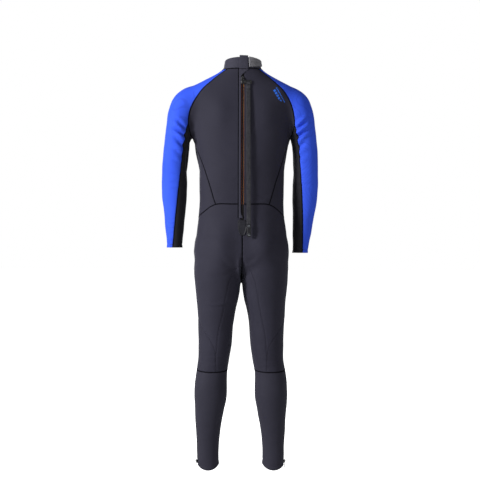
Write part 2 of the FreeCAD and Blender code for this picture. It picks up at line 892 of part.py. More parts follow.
SLIDER_TOP = 2.1
HINGE_OUT = SLIDER_TOP + 1.4  # of both kinds of puller, from the fabric
BAR_RADIUS = 0.85


def back_zip():
    low, high = along_zip(ZIP_BOTTOM), along_zip(ZIP_TOP + 4)
    inner, outer = 2.4, 2.4 + TAPE_WIDTH
    heights = [ZIP_TOP + 2 - (ZIP_TOP + 2 - ZIP_BOTTOM) * i / 8 for i in range(9)]
    tape = back_strip(
        [(inner, z) for z in heights],
        [(outer, z) for z in heights],
        -FABRIC - 0.25,
        -FABRIC - 0.25 - TAPE_THICK,
    )
    save_pair("back_zip_tape", tape)
    coil = block(0.12, COIL_WIDTH, -COIL_HIGH, 0.0, low, high)
    save_pair("back_zip_coil", placed(coil, ZIP_FRAME))
    stop = rounded_plate(-2.6, 2.6, -2.6, 0.0, low - 7, low - 0.2, 1.2)
    save("back_zip_bottom_stop", placed(stop, ZIP_FRAME))
    top_stop = block(0.12, 2.2, -2.4, 0.0, high + 0.2, high + 4)
    both = Part.makeCompound([top_stop, mirrored(top_stop)])
    save("back_zip_top_stops", placed(both, ZIP_FRAME))
    body = slider_body(9.4, 15.0, SLIDER_TOP, -2.6)
    save("back_zip_slider", placed(body, ZIP_FRAME))
    heights = [COLLAR_TOP[0] - 4 - (COLLAR_TOP[0] - 4 - 858) * i / 10 for i in range(11)]
    under = back_strip(
        [(-FLAP_IN, z) for z in heights],
        [(FLAP_IN, z) for z in heights],
        -FABRIC - 2.2,
        -FABRIC - 4.2,
        across=6,
    )
    save("zip_underflap", under)


def placket():
    """The narrow flap on the left of the zip, which widens over the zip's top."""
    heights = (1362, 1352, 1342, 1325, 1300, 1260, 1200, 1120, 1040, 960, 882)
    inner = [(-23, 1401), (-13, 1394), (-3, 1386), (4.5, 1378), (PLACKET_EDGE, 1370)]
    inner += [(PLACKET_EDGE, z) for z in heights]
    outer = [(13, z) for z in (1401, 1394, 1386, 1378, 1370)]
    outer += [(13, z) for z in heights]
    save("zip_placket", back_strip(inner, outer, 1.8, 0.35, across=4, down=24))


def garage():
    """The moulded shield over the lower end of the zip, narrower at its foot."""
    edge = [(16.5, 876), (16.5, 862), (16.0, 848), (13.6, 836), (9.6, 827), (6.5, 822)]
    sides = [[(sign * x, z) for x, z in edge] for sign in (-1, 1)]
    save("zip_garage", back_strip(*sides, 2.5, 0.35, across=6, down=12))


PULLER = (-31.0, 6.4)  # across
LEASH_MIDDLE = -19.0
LOOP_LOW = -37.0  # local heights
SLOT = (-15.6, -11.0)
# The leash's route in its own plane: down from the slider, and out from the fabric.
LEASH_ROUTE = [(37.2, 4.4), (95, 7.4), (190, 8.2), (300, 9.8), (405, 10.4), (470, 11.7), (508, 13.9)]
GRIP_LENGTH = 45.0
GRIP_THICK = 5.2
LEASH_DRIFT = 0.3  # degrees that it hangs away from the zip


def puller():
    y0, y1 = HINGE_OUT - 0.95, HINGE_OUT + 0.95
    plate = rounded_plate(PULLER[0], PULLER[1], y0, y1, -19, -6.5, 2.4)
    for x0, x1 in ((-5.9, -3.9), (3.9, 5.9)):
        plate = plate.fuse(block(x0, x1, y0, y1, -8, 0.6))
    plate = plate.fuse(bar(-5.6, 5.6, HINGE_OUT, 0, BAR_RADIUS))
    half = LEASH_WIDTH / 2 + 0.6
    slot = block(LEASH_MIDDLE - half, LEASH_MIDDLE + half, y0 - 1, y1 + 1, *SLOT)
    save("back_zip_puller", placed(plate.cut(slot).removeSplitter(), ZIP_FRAME))


def leash_loop():
    """The end of the webbing, folded through the puller's slot and sewn to itself."""
    half = LEASH_WIDTH / 2
    low, high = LOOP_LOW, SLOT[1] - 0.2
    out, inner = HINGE_OUT + 2.9, HINGE_OUT - 2.9
    loop = rounded_across(LEASH_MIDDLE, half, inner, out, low, high, 2.8)
    room = rounded_across(LEASH_MIDDLE, half + 1, inner + 1.6, out - 1.6, -21.5, high - 1.6, 1.2)
    save("leash_loop", placed(loop.cut(room), ZIP_FRAME))


def rounded_across(x, half, y0, y1, z0, z1, radius):
    """A block along X whose upper edges are round."""
    shape = block(x - half, x + half, y0, y1, z0, z1)
    level_edges = [e for e in shape.Edges if abs(e.Vertexes[0].X - e.Vertexes[-1].X) > 1]
    upper = [e for e in level_edges if e.Vertexes[0].Z > z1 - 0.1]
    return shape.makeFillet(min(radius, (y1 - y0) / 2 - 0.05), upper)


def leash_frame():
    """The plane of the leash: it hangs from the loop, drifting slowly to one side."""
    drift = Placement(Vector(LEASH_MIDDLE, 0, 0), Rotation(Vector(0, 1, 0), LEASH_DRIFT))
    return ZIP_FRAME.multiply(drift)


def route_edges(points, radii, offset):
    """Straight runs joined by tangent arcs along a route, moved sideways by offset."""
    edges, start = [], None
    for i, p in enumerate(points):
        if i in (0, len(points) - 1):
            along = (points[1] - points[0]) if i == 0 else (points[-1] - points[-2])
            along.normalize()
            side = Vector(0, along.z, -along.y) * -offset
            here = p + side
            if start is not None:
                edges.append(Part.LineSegment(start, here).toShape())
            start = here
            continue
        a, b = (p - points[i - 1]).normalize(), (points[i + 1] - p).normalize()
        turn = a.getAngle(b)
        cut = radii[i - 1] * math.tan(turn / 2)
        first, last = p - a * cut, p + b * cut
        middle_way = (b - a).normalize()
        centre = p + middle_way * (radii[i - 1] / math.cos(turn / 2))
        mid = centre - middle_way * radii[i - 1]
        moved = []
        for q, along in ((first, a), (mid, (a + b).normalize()), (last, b)):
            moved.append(q + Vector(0, along.z, -along.y) * -offset)
        edges.append(Part.LineSegment(start, moved[0]).toShape())
        edges.append(Part.Arc(*moved).toShape())
        start = moved[2]
    return edges


def leash():
    points = [Vector(0, out, -down) for down, out in LEASH_ROUTE]
    radii = []
    for a, b, c in zip(points, points[1:], points[2:]):
        turn = (b - a).getAngle(c - b)
        radii.append(0.45 * min((b - a).Length, (c - b).Length) / math.tan(turn / 2))
    print("leash radii", [round(r) for r in radii])
    near = route_edges(points, radii, -LEASH_THICK / 2)
    far = route_edges(points, radii, LEASH_THICK / 2)
    ends = []
    for k in (0, -1):
        a = near[k].Vertexes[0 if k == 0 else -1].Point
        b = far[k].Vertexes[0 if k == 0 else -1].Point
        ends.append(Part.LineSegment(a, b).toShape())
    wire = Part.Wire(Part.__sortEdges__(near + far + ends))
    strip = Part.Face(wire).extrude(Vector(LEASH_WIDTH, 0, 0))
    strip.translate(Vector(-LEASH_WIDTH / 2, 0, 0))
    length = sum(e.Length for e in route_edges(points, radii, 0.0))
    share = strip.Volume / (length * LEASH_WIDTH * LEASH_THICK)
    print("leash length", round(length, 1), "volume share", round(share, 4))
    save("leash_webbing", placed(strip, leash_frame()))
    leash_grip(points)


def leash_grip(points):
    """The moulded handle on the end of the leash, in line with the last run."""
    along = (points[-1] - points[-2]).normalize()
    lean = math.degrees(math.atan2(along.y, -along.z))
    half, thick = 7.9, GRIP_THICK / 2
    grip = rounded_plate(-half, half, -thick, thick, -GRIP_LENGTH, 0, 3.6)
    eye = Part.makeCylinder(2.3, 4 * thick, Vector(0, -2 * thick, -7.5), Vector(0, 1, 0))
    grip = grip.cut(eye)
    for k in range(3):
        z = -15.5 - 7.0 * k
        for y in (-thick, thick):
            grip = grip.cut(bar(-half - 1, half + 1, y * 1.15, z, 1.2))
    here = Placement(points[-1] + along * 0.1, Rotation(Vector(1, 0, 0), lean))
    save("leash_grip", placed(placed(grip, here), leash_frame()))


FLAP_ANGLES = (78.0, 109.0)  # round the neck
TAB_ANGLES = (109.8, 168.0)


def closure():
    """The collar's overlapping flap with its hook tab, and the loop patch under it."""
    flap = neck_patch(*FLAP_ANGLES, (1405.5, 1405.5), (1450.5, 1449.5), 3.0, 0.5)
    save("collar_flap", flap)
    tab = neck_patch(*TAB_ANGLES, (1407, 1414), (1446.5, 1436), 1.8 + TAB_THICK, 1.8, across=8)
    save("collar_tab", tab)
    hooks = neck_patch(116, 162, (1411, 1417), (1442, 1434), 1.7, 1.0, across=8)
    save("hook_patch", hooks)
    loops = neck_patch(113, 170, (1408, 1414), (1440, 1432), 0.85, 0.25, across=8)
    save("loop_patch", loops)


# ---------------------------------------------------------------- ankle zips


def ankle_frame():
    """Local axes of an ankle zip: Y out of the leg and Z up the zip from the hem."""
    low, high = (around(leg_ring, ANKLE_ANGLE, z) for z in (ANKLE_LOW, ANKLE_HIGH))
    up = (high - low).normalize()
    out = outward((low + high) * 0.5)[0]
    across = out.cross(up).normalize()
    out = up.cross(across)
    columns = (across, out, up, low)
    values = [v.x for v in columns] + [v.y for v in columns] + [v.z for v in columns]
    return Placement(Matrix(*values, 0, 0, 0, 1))


def up_of(frame):
    return frame.Rotation.multVec(Vector(0, 0, 1))


def out_of(frame):
    return frame.Rotation.multVec(Vector(0, 1, 0))


def ankle_zip():
    frame = ankle_frame()
    length = ANKLE_HIGH - ANKLE_LOW
    tape = block(1.8, 8.4, -6.1, -5.5, -4, length + 5)
    save_pair("ankle_zip_tapes", placed(Part.makeCompound([tape, mirrored(tape)]), frame))
    coil = block(0.1, 1.6, -5.4, -2.0, -3, length - 1)
    save_pair("ankle_zip_coils", placed(Part.makeCompound([coil, mirrored(coil)]), frame))
    stop = rounded_plate(-2.4, 2.4, -5.4, -0.8, length - 0.6, length + 3.4, 1.0)
    save_pair("ankle_zip_stop", placed(stop, frame))
    body = slider_body(6.6, 11.0, SLIDER_TOP, -2.6)
    body.translate(Vector(0, 0, 5.0))
    save_pair("ankle_zip_slider", placed(body, frame))
    y0, y1 = HINGE_OUT - 0.8, HINGE_OUT + 0.8
    pull = rounded_plate(-3.4, 3.4, y0, y1, -25, -5, 1.6)
    for x0, x1 in ((-3.4, -2.1), (2.1, 3.4)):
        pull = pull.fuse(block(x0, x1, y0, y1, -6.5, 0.6))
    pull = pull.fuse(bar(-3.2, 3.2, HINGE_OUT, 0, BAR_RADIUS))
    pull = pull.cut(block(-1.5, 1.5, y0 - 1, y1 + 1, -21, -12)).removeSplitter()
    hang = math.degrees(math.atan2(-out_of(frame).z, up_of(frame).z))
    hinge = Vector(0, HINGE_OUT, 0)
    pull.rotate(hinge, Vector(1, 0, 0), hang)
    pull.translate(Vector(0, 0, 5.0))
    save_pair("ankle_zip_puller", placed(pull, frame))
    sides = (ANKLE_ANGLE + 24, ANKLE_ANGLE, ANKLE_ANGLE - 24)
    rails = [seam([around(leg_ring, a, z) for z in (174, 120, 60, 14)]) for a in sides]
    tops = [ring_line(leg_ring, a, b, level(174), 3) for a, b in zip(sides, sides[1:])]
    bottoms = [ring_line(leg_ring, a, b, level(14), 3) for a, b in zip(sides, sides[1:])]
    save_pair("ankle_gusset", panel(rails, tops, bottoms, 3, 10, -7.0, -8.6))


os.makedirs("parts", exist_ok=True)
panels()
back_zip()
placket()
garage()
puller()
leash_loop()
leash()
closure()
ankle_zip()
for name, shape in sorted(NODES.items()):
    print(name, "%.1f cm3" % (shape.Volume / 1000), "faces", len(shape.Faces), shape.isValid())
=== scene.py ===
import math

import bpy
import numpy as np
from mathutils import Matrix, Vector

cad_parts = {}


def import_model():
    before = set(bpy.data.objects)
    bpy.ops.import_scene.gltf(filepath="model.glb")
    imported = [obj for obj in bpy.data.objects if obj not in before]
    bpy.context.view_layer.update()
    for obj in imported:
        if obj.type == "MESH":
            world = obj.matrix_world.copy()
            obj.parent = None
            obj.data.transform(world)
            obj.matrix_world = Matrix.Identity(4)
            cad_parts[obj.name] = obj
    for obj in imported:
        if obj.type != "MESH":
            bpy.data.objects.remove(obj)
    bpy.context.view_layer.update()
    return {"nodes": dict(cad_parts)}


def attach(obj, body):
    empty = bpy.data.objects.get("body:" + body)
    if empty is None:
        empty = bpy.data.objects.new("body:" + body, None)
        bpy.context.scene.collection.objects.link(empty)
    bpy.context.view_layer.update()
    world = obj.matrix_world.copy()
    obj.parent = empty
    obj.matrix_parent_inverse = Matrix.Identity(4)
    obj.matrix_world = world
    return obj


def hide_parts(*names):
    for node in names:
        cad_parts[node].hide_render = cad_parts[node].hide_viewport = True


# A full wetsuit seen from behind. The suit's surface is worked out in millimetres, with
# heights from the leg hems, as the CAD model does, and row() turns it into the row frame:
# metres from the middle of the neck opening, +X the wearer's left, +Y the back, +Z up.

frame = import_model()

NECK_HEIGHT = 1432.0  # the middle of the neck opening
NECK_MIDDLE = 11.0
FABRIC = 3.0

# ---------------------------------------------------------------- camera, light and floor

CAMERA_TURN = 178.2  # degrees round from the front
CAMERA_ROLL = 0.25
CAMERA_AWAY = 4.4
CAMERA_REACH = 50.0
CAMERA_TARGET = Vector((0.0062, 0.03, -0.6255))
VIEW_ACROSS = 1.68  # metres that the picture takes in at the suit
SENSOR = 36.0
FLOOR = -1.452
FLOOR_HALF = 30.0
FLOOR_TONE = (0.8, 0.8, 0.8, 1)
WHITE = (1, 1, 1, 1)
AMBIENT = 0.30  # how strongly the white room lights the suit
LIT_POINT = (0, 0, -0.6)
# Name, place, size and watts of each lamp: the main light is on the wearer's left.
LAMPS = [
    ("key_light", (3.3, 1.9, 0.6), 0.9, 205),
    ("fill_light", (-2.4, 3.4, 0.2), 2.4, 24),
    ("front_light", (0.8, -3.2, 0.6), 2.2, 60),
]


def look_from(eye, target):
    """A rotation that points a camera or a light from eye to target."""
    return (Vector(target) - Vector(eye)).to_track_quat("-Z", "Y").to_euler()


def camera():
    data = bpy.data.cameras.new("camera")
    data.sensor_width = SENSOR
    data.lens = SENSOR * CAMERA_AWAY / VIEW_ACROSS
    data.clip_end = CAMERA_REACH
    ob = bpy.data.objects.new("camera", data)
    bpy.context.collection.objects.link(ob)
    turn = math.radians(CAMERA_TURN)
    ob.location = CAMERA_TARGET + Vector((math.sin(turn), -math.cos(turn), 0)) * CAMERA_AWAY
    ob.rotation_euler = look_from(ob.location, CAMERA_TARGET)
    ob.rotation_euler.rotate_axis("Z", math.radians(CAMERA_ROLL))
    bpy.context.scene.camera = ob


def area_light(name, place, size, watts):
    data = bpy.data.lights.new(name, "AREA")
    data.shape = "DISK"
    data.size = size
    data.energy = watts
    ob = bpy.data.objects.new(name, data)
    ob.location = place
    ob.rotation_euler = look_from(place, LIT_POINT)
    bpy.context.collection.objects.link(ob)


def bright_to_eye(tree, socket, light, seen):
    """The backdrop looks white, but lights the suit less than it looks."""
    path = tree.nodes.new("ShaderNodeLightPath")
    scale = tree.nodes.new("ShaderNodeMapRange")
    scale.inputs["To Min"].default_value = light
    scale.inputs["To Max"].default_value = seen
    tree.links.new(path.outputs["Is Camera Ray"], scale.inputs["Value"])
    tree.links.new(scale.outputs["Result"], socket)


def room():
    world = bpy.data.worlds.new("room")
    world.use_nodes = True
    background = world.node_tree.nodes["Background"]
    bright_to_eye(world.node_tree, background.inputs["Strength"], AMBIENT, 1.0)
    background.inputs["Color"].default_value = WHITE
    bpy.context.scene.world = world


def floor():
    mesh = bpy.data.meshes.new("floor")
    corners = [(-FLOOR_HALF, -FLOOR_HALF), (FLOOR_HALF, -FLOOR_HALF)]
    corners += [(-x, -y) for x, y in corners]
    mesh.from_pydata([(x, y, FLOOR) for x, y in corners], [], [(0, 1, 2, 3)])
    ob = bpy.data.objects.new("floor", mesh)
    bpy.context.collection.objects.link(ob)
    tint = bpy.data.materials.new("pale_floor")
    tint.use_nodes = True
    bsdf = tint.node_tree.nodes["Principled BSDF"]
    bsdf.inputs["Base Color"].default_value = FLOOR_TONE
    bsdf.inputs["Roughness"].default_value = 0.9
    bsdf.inputs["Specular IOR Level"].default_value = 0.1
    bsdf.inputs["Emission Color"].default_value = WHITE
    bright_to_eye(tint.node_tree, bsdf.inputs["Emission Strength"], 0.0, 1.0)
    mesh.materials.append(tint)


def studio():
    """A white floor and room, and soft light mostly from the wearer's left."""
    for lamp in LAMPS:
        area_light(*lamp)
    bpy.context.scene.view_settings.view_transform = "Standard"
    room()
    floor()


camera()
studio()

# ---------------------------------------------------------------- node materials


class Nodes:
    """Short ways to add and join the nodes of one material."""

    def __init__(self, name, roughness=0.8):
        self.material = bpy.data.materials.new(name)
        self.material.use_nodes = True
        self.tree = self.material.node_tree
        self.bsdf = self.tree.nodes["Principled BSDF"]
        self.bsdf.inputs["Roughness"].default_value = roughness
        self.where = self.add("ShaderNodeTexCoord").outputs["Object"]

    def add(self, kind, **values):
        node = self.tree.nodes.new(kind)
        for key, value in values.items():
            setattr(node, key, value)
        return node

    def put(self, value, socket):
        if isinstance(value, bpy.types.NodeSocket):
            self.tree.links.new(value, socket)
        elif isinstance(value, tuple) and len(value) == 3 and socket.type == "RGBA":
            socket.default_value = (*value, 1)
        else:
            socket.default_value = value

    def math(self, what, a, b=0.0):
        node = self.add("ShaderNodeMath", operation=what)
        self.put(a, node.inputs[0])
        self.put(b, node.inputs[1])
        return node.outputs[0]

    def scaled(self, value, by, plus):
        return self.math("ADD", plus, self.math("MULTIPLY", value, by))

    def weighed(self, a, share, b):
        """A share of a, and the rest of b."""
        return self.scaled(b, 1 - share, self.math("MULTIPLY", a, share))

    def noise(self, scale, detail=2.0, rough=0.5, where=None, distortion=0.0):
        node = self.add("ShaderNodeTexNoise")
        self.put(where or self.where, node.inputs["Vector"])
        node.inputs["Scale"].default_value = scale
        node.inputs["Detail"].default_value = detail
        node.inputs["Roughness"].default_value = rough
        node.inputs["Distortion"].default_value = distortion
        return node.outputs["Fac"]

    def stretched(self, sx, sy, sz, turn=(0, 0, 0)):
        node = self.add("ShaderNodeMapping")
        self.put(self.where, node.inputs["Vector"])
        node.inputs["Scale"].default_value = (sx, sy, sz)
        node.inputs["Rotation"].default_value = [math.radians(a) for a in turn]
        return node.outputs["Vector"]

    def voronoi(self, scale, where=None, feature="F1"):
        node = self.add("ShaderNodeTexVoronoi", feature=feature)
        self.put(where or self.where, node.inputs["Vector"])
        node.inputs["Scale"].default_value = scale
        return node.outputs["Distance"]

    def ramp(self, value, stops):
        node = self.add("ShaderNodeValToRGB")
        self.put(value, node.inputs["Fac"])
        while len(node.color_ramp.elements) < len(stops):
            node.color_ramp.elements.new(0.5)
        for element, (place, colour) in zip(node.color_ramp.elements, stops):
            element.position = place
            element.color = (*colour, 1)
        return node.outputs["Color"]

    def mix(self, share, a, b):
        node = self.add("ShaderNodeMix", data_type="RGBA")
        self.put(share, node.inputs[0])
        self.put(a, node.inputs[6])
        self.put(b, node.inputs[7])
        return node.outputs[2]

    def bump(self, height, strength, distance):
        node = self.add("ShaderNodeBump")
        self.put(height, node.inputs["Height"])
        node.inputs["Strength"].default_value = strength
        node.inputs["Distance"].default_value = distance
        self.put(node.outputs["Normal"], self.bsdf.inputs["Normal"])

    def colour(self, value):
        self.put(value, self.bsdf.inputs["Base Color"])

    def rough(self, value):
        self.put(value, self.bsdf.inputs["Roughness"])

    def sheen(self, weight, rough=0.4, tint=(1, 1, 1)):
        self.bsdf.inputs["Sheen Weight"].default_value = weight
        self.bsdf.inputs["Sheen Roughness"].default_value = rough
        self.bsdf.inputs["Sheen Tint"].default_value = (*tint, 1)

    def gloss(self, level):
        self.bsdf.inputs["Specular IOR Level"].default_value = level


KNIT_ROUGH, KNIT_GLOSS = 0.75, 0.14


def knit(name, dark, light, sheen=0.1, tint=(0.75, 0.8, 1.0), weave=900.0):
    """Knitted lining over foamed rubber: fine ribs, cloudy tone and a soft sheen."""
    n = Nodes(name, KNIT_ROUGH)
    cloud = n.noise(7.0, 3.0)
    fleck = n.noise(520.0, 2.0)
    n.colour(n.ramp(n.weighed(cloud, 0.7, fleck), [(0.3, dark), (0.7, light)]))
    ribs = n.noise(weave, 1.0, 0.5, n.stretched(1, 1, 0.45))
    loops = n.voronoi(weave * 0.9, n.stretched(1, 1, 0.6))
    n.bump(n.scaled(loops, 0.6, ribs), 0.35, 0.0006)
    n.rough(n.scaled(fleck, 0.12, KNIT_ROUGH - 0.06))
    n.sheen(sheen, 0.35, tint)
    n.gloss(KNIT_GLOSS)
    return n


def printed_blue():
    """Blue lining with a tone-on-tone print of contour lines."""
    n = knit("blue_neoprene", (0.024, 0.070, 0.57), (0.031, 0.086, 0.68), 0.03, (0.5, 0.65, 1.0))
    base = n.bsdf.inputs["Base Color"].links[0].from_socket
    hills = n.noise(6.5, 1.2, 0.45, n.stretched(1.3, 1.3, 0.8), 0.25)
    steps = n.math("FRACT", n.math("MULTIPLY", hills, 20.0))
    line = n.math("LESS_THAN", n.math("ABSOLUTE", n.math("SUBTRACT", steps, 0.5)), 0.085)
    area = n.math("GREATER_THAN", n.noise(4.2, 1.0, 0.5, n.stretched(1, 1, 0.7)), 0.47)
    n.colour(n.mix(n.math("MULTIPLY", n.math("MULTIPLY", line, area), 0.3), base, (0.018, 0.045, 0.42)))
    return n.material


def coated_knee():
    """A tougher coating with a fine honeycomb."""
    n = knit("knee_neoprene", (0.0175, 0.0165, 0.0270), (0.0210, 0.0200, 0.0325))
    cells = n.voronoi(260.0, None, "DISTANCE_TO_EDGE")
    n.bump(n.math("MINIMUM", cells, 0.12), 0.5, 0.002)
    return n.material


def thread():
    """Dull black sewing thread."""
    n = Nodes("seam_thread", 0.9)
    fine = n.noise(1400.0, 1.0)
    n.colour(n.ramp(fine, [(0.35, (0.002, 0.002, 0.003)), (0.7, (0.007, 0.007, 0.010))]))
    n.bump(fine, 0.4, 0.0004)
    n.gloss(0.04)
    return n.material


BLACK = knit("black_neoprene", (0.0185, 0.0175, 0.0285), (0.0225, 0.0215, 0.0345)).material
CALF = knit("calf_neoprene", (0.0195, 0.0185, 0.0290), (0.0245, 0.0235, 0.0360), weave=600.0).material
STRETCH = knit("underarm_neoprene", (0.0100, 0.0098, 0.0135), (0.0125, 0.0122, 0.0165), weave=1300.0).material
COLLAR = knit("stretch_neoprene", (0.0310, 0.0300, 0.0440), (0.0370, 0.0360, 0.0530), weave=1300.0).material
BLUE = printed_blue()
KNEE = coated_knee()
THREAD = thread()

# ---------------------------------------------------------------- the body's surface

# The back zip lies on one straight line down the spine.
ZIP_TOP = 1392.0
ZIP_BOTTOM = 868.0
ZIP_TOP_DEPTH = 72.0
ZIP_LEAN = 0.06
ZIP_EDGE = 5.0  # from the middle of the zip to the edge of the neoprene
COIL_WIDTH = 2.1
COIL_HIGH = 2.3
TAPE_WIDTH = 13.0
TAPE_THICK = 0.7
SLIDER_REST = 1368.0
FLAP_IN = 24.0  # half width of the flap behind the zip
PLACKET_EDGE = 6.0  # clear of the slider

# Height, half width and front of the torso, from the crotch to the top of the collar.
TORSO = [
    (660, 160, -92),
    (730, 164, -96),
    (779, 163, -95),
    (835, 157.5, -91),
    (891, 150.5, -86),
    (933, 148.5, -85),
    (1003, 149, -90),
    (1059, 149.5, -99),
    (1115, 158, -109),
    (1150, 165.5, -114),
    (1165, 169, -115),
    (1213, 177, -116),
    (1255, 186, -113),
    (1297, 196, -104),
    (1325, 199, -94),
    (1339, 188, -86),
    (1353, 164, -77),
    (1367, 137, -68),
    (1381, 110, -59),
    (1395, 85, -51),
    (1407, 69, -47),
    (1423, 64, -45),
    (1460, 61, -43),
]
# Height, outer edge, inner edge, back and front of the left arm.
ARM = [
    (760, 246, 193, 8, -47),
    (779, 247, 193.5, 10, -49),
    (807, 250, 192.5, 14, -51),
    (835, 255.5, 190.5, 18, -54),
    (891, 262.5, 188, 26, -56),
    (947, 271, 185.5, 33, -56),
    (1003, 274, 184.5, 38, -54),
    (1059, 273, 186.5, 41, -54),
    (1115, 270, 183, 43, -55),
    (1150, 266.5, 177.5, 44.5, -56),
    (1165, 265, 175, 45, -56),
    (1213, 259, 165, 47, -57),
    (1255, 253.5, 152, 48, -57),
    (1297, 241, 135, 47, -54),
    (1360, 215, 115, 45, -50),
]
# Height, outer edge, inner edge, back and front of the left leg.
LEG = [
    (-20, 152, 76, 47, -42),
    (23, 153.5, 76.5, 45, -41),
    (93, 155, 75, 46, -42),
    (149, 158, 69, 53, -46),
    (205, 161, 58.5, 63, -49),
    (261, 164, 48.5, 70, -52),
    (317, 161, 48.5, 69, -56),
    (345, 157, 47.5, 66, -59),
    (387, 150.5, 40.5, 66, -62),
    (443, 149.5, 32, 70, -66),
    (513, 152, 27.5, 76, -72),
    (569, 155, 17, 84, -78),
    (599, 157.5, 9.8, 89, -81),
    (625, 160.5, 6, 93, -84),
    (650, 163, 3.6, 96.5, -86),
    (667, 164.5, -1, 99, -88),
    (730, 165, -12, 103, -91),
    (790, 157, -26, 103, -89),
    (850, 150, -40, 98, -80),
]
ARM_TOP = (1290.0, 1352.0)  # where the arm starts to close, and where it ends
LEG_TOP = (790.0, 856.0)
TORSO_END = (775.0, 676.0)
LEG_SOFT, HIP_SOFT = 8.0, 22.0  # how far limbs round into each other
ARM_SOFT = (12.0, 24.0)  # at the armpit and at the shoulder
ARMPIT = (1175.0, 1250.0)  # between which heights the arm's softness grows
CUFF = 768.0
BELOW_CUFF = 60.0  # how far the arm's surface goes on past the cuff, for its edge
HEM_SIDE = 20.0  # how much higher the leg hems are all round than at the back

# Swellings of the body: height, distance from the middle, spread across, spread up,
# amount, and whether it is on the back.
SWELLINGS = [
    (792, 74, 40, 78, 13.0, True),  # seat
    (1250, 84, 36, 64, 8.0, True),  # shoulder blades
    (1225, 72, 44, 52, 8.0, False),  # chest
    (395, 96, 30, 42, 5.0, False),  # knees
]

# Ankle zips, on the outer side of each leg.
ANKLE_ANGLE = 14.0  # towards the back from straight out
ANKLE_LOW = 25.0
ANKLE_HIGH = 166.0
ANKLE_EDGE = 5.2  # from the middle of the slit to its edges
SLIT_TAPER = 60.0  # over which the slit above an ankle zip closes into a seam

COLLAR_SEAM = (1404.0, 1385.0)  # height at the back and at the front
COLLAR_TOP = (1444.0, 1420.0)
COLLAR_END = 7.0  # from the middle of the back to each end of the collar

LEASH_WIDTH = 15.0
LEASH_THICK = 1.6


def curve_through(rows, column):
    """A smooth function of height through one column of a table of rows."""
    xs = np.array([row[0] for row in rows], float)
    ys = np.array([row[column] for row in rows], float)
    secants = np.diff(ys) / np.diff(xs)
    spans = np.diff(xs)
    slopes = np.empty_like(xs)
    slopes[0], slopes[-1] = secants[0], secants[-1]
    slopes[1:-1] = (secants[:-1] * spans[1:] + secants[1:] * spans[:-1]) / (spans[1:] + spans[:-1])

    def value(x):
        x = np.asarray(x, float)
        held = np.clip(x, xs[0], xs[-1])
        i = np.clip(np.searchsorted(xs, held, side="right") - 1, 0, len(xs) - 2)
        span = spans[i]
        t = (held - xs[i]) / span
        a = (1 + 2 * t) * (1 - t) ** 2
        b = t * (1 - t) ** 2
        c = t * t * (3 - 2 * t)
        d = t * t * (t - 1)
        inside = a * ys[i] + b * span * slopes[i] + c * ys[i + 1] + d * span * slopes[i + 1]
        return inside + np.where(x < xs[0], slopes[0] * (x - xs[0]), 0.0)

    return value


def zip_depth(height):
    """How far back the straight line of the zip is at a height."""
    return ZIP_TOP_DEPTH + (ZIP_TOP - height) * ZIP_LEAN


torso_half, torso_front = curve_through(TORSO, 1), curve_through(TORSO, 2)
arm_out, arm_in, arm_back, arm_front = [curve_through(ARM, c) for c in (1, 2, 3, 4)]
leg_out, leg_in, leg_back, leg_front = [curve_through(LEG, c) for c in (1, 2, 3, 4)]


def dome(height, start, end):
    """1 before start, falling like a dome to nearly nothing at end."""
    t = np.clip((height - start) / (end - start), 0.0, 1.0)
    return np.sqrt(np.maximum(1 - t * t, 0.0004))


def fade(height, start, end):
    """0 before start, rising to 1 at end, so that a limb lets go of the torso."""
    return np.clip((height - start) / (end - start), 0.0, 1.0) ** 4


def torso_ring(height):
    """Centre x, centre y, half width and half depth of the torso at a height."""
    back, front = zip_depth(height), torso_front(height)
    close = dome(height, *TORSO_END)
    return 0.0, (back + front) / 2, torso_half(height) * close, (back - front) / 2 * close


def limb_ring(height, out, inner, back, front, top):
    close = dome(height, *top)
    out, inner, back, front = (side(height) for side in (out, inner, back, front))
    return (out + inner) / 2, (back + front) / 2, (out - inner) / 2 * close, (back - front) / 2 * close


def arm_ring(height):
    return limb_ring(np.maximum(height, CUFF - BELOW_CUFF), arm_out, arm_in, arm_back, arm_front, ARM_TOP)


def leg_ring(height):
    return limb_ring(height, leg_out, leg_in, leg_back, leg_front, LEG_TOP)


def from_ring(x, y, ring, power):
    """How far a point is outside a ring; less than 0 inside it."""
    cx, cy, half_width, half_depth = ring
    dx, dy = np.abs(x - cx), np.abs(y - cy)
    away = np.maximum(np.hypot(dx, dy), 1e-6)
    share = ((dx / half_width) ** power + (dy / half_depth) ** power) ** (1 / power)
    return away * (1 - 1 / np.maximum(share, 1e-6))


def blend(a, b, softness):
    """The smaller of two distances, rounded where they are about the same."""
    h = np.maximum(softness - np.abs(a - b), 0.0) / softness
    return np.minimum(a, b) - h * h * softness / 4


def ease(share):
    """0 to 1, slow at both ends."""
    share = np.clip(share, 0.0, 1.0)
    return share * share * (3 - 2 * share)


def arm_softness(height):
    share = (height - ARMPIT[0]) / (ARMPIT[1] - ARMPIT[0])
    return ARM_SOFT[0] + (ARM_SOFT[1] - ARM_SOFT[0]) * ease(share)


def swelling(x, y, height):
    total = 0.0
    for at_height, out, across, up, amount, behind_it in SWELLINGS:
        side = np.maximum(y if behind_it else -y, 0.0)
        near = ((np.abs(x) - out) / across) ** 2 + ((height - at_height) / up) ** 2
        total = total + amount * np.exp(-near) * np.minimum(side / 30.0, 1.0)
    return total


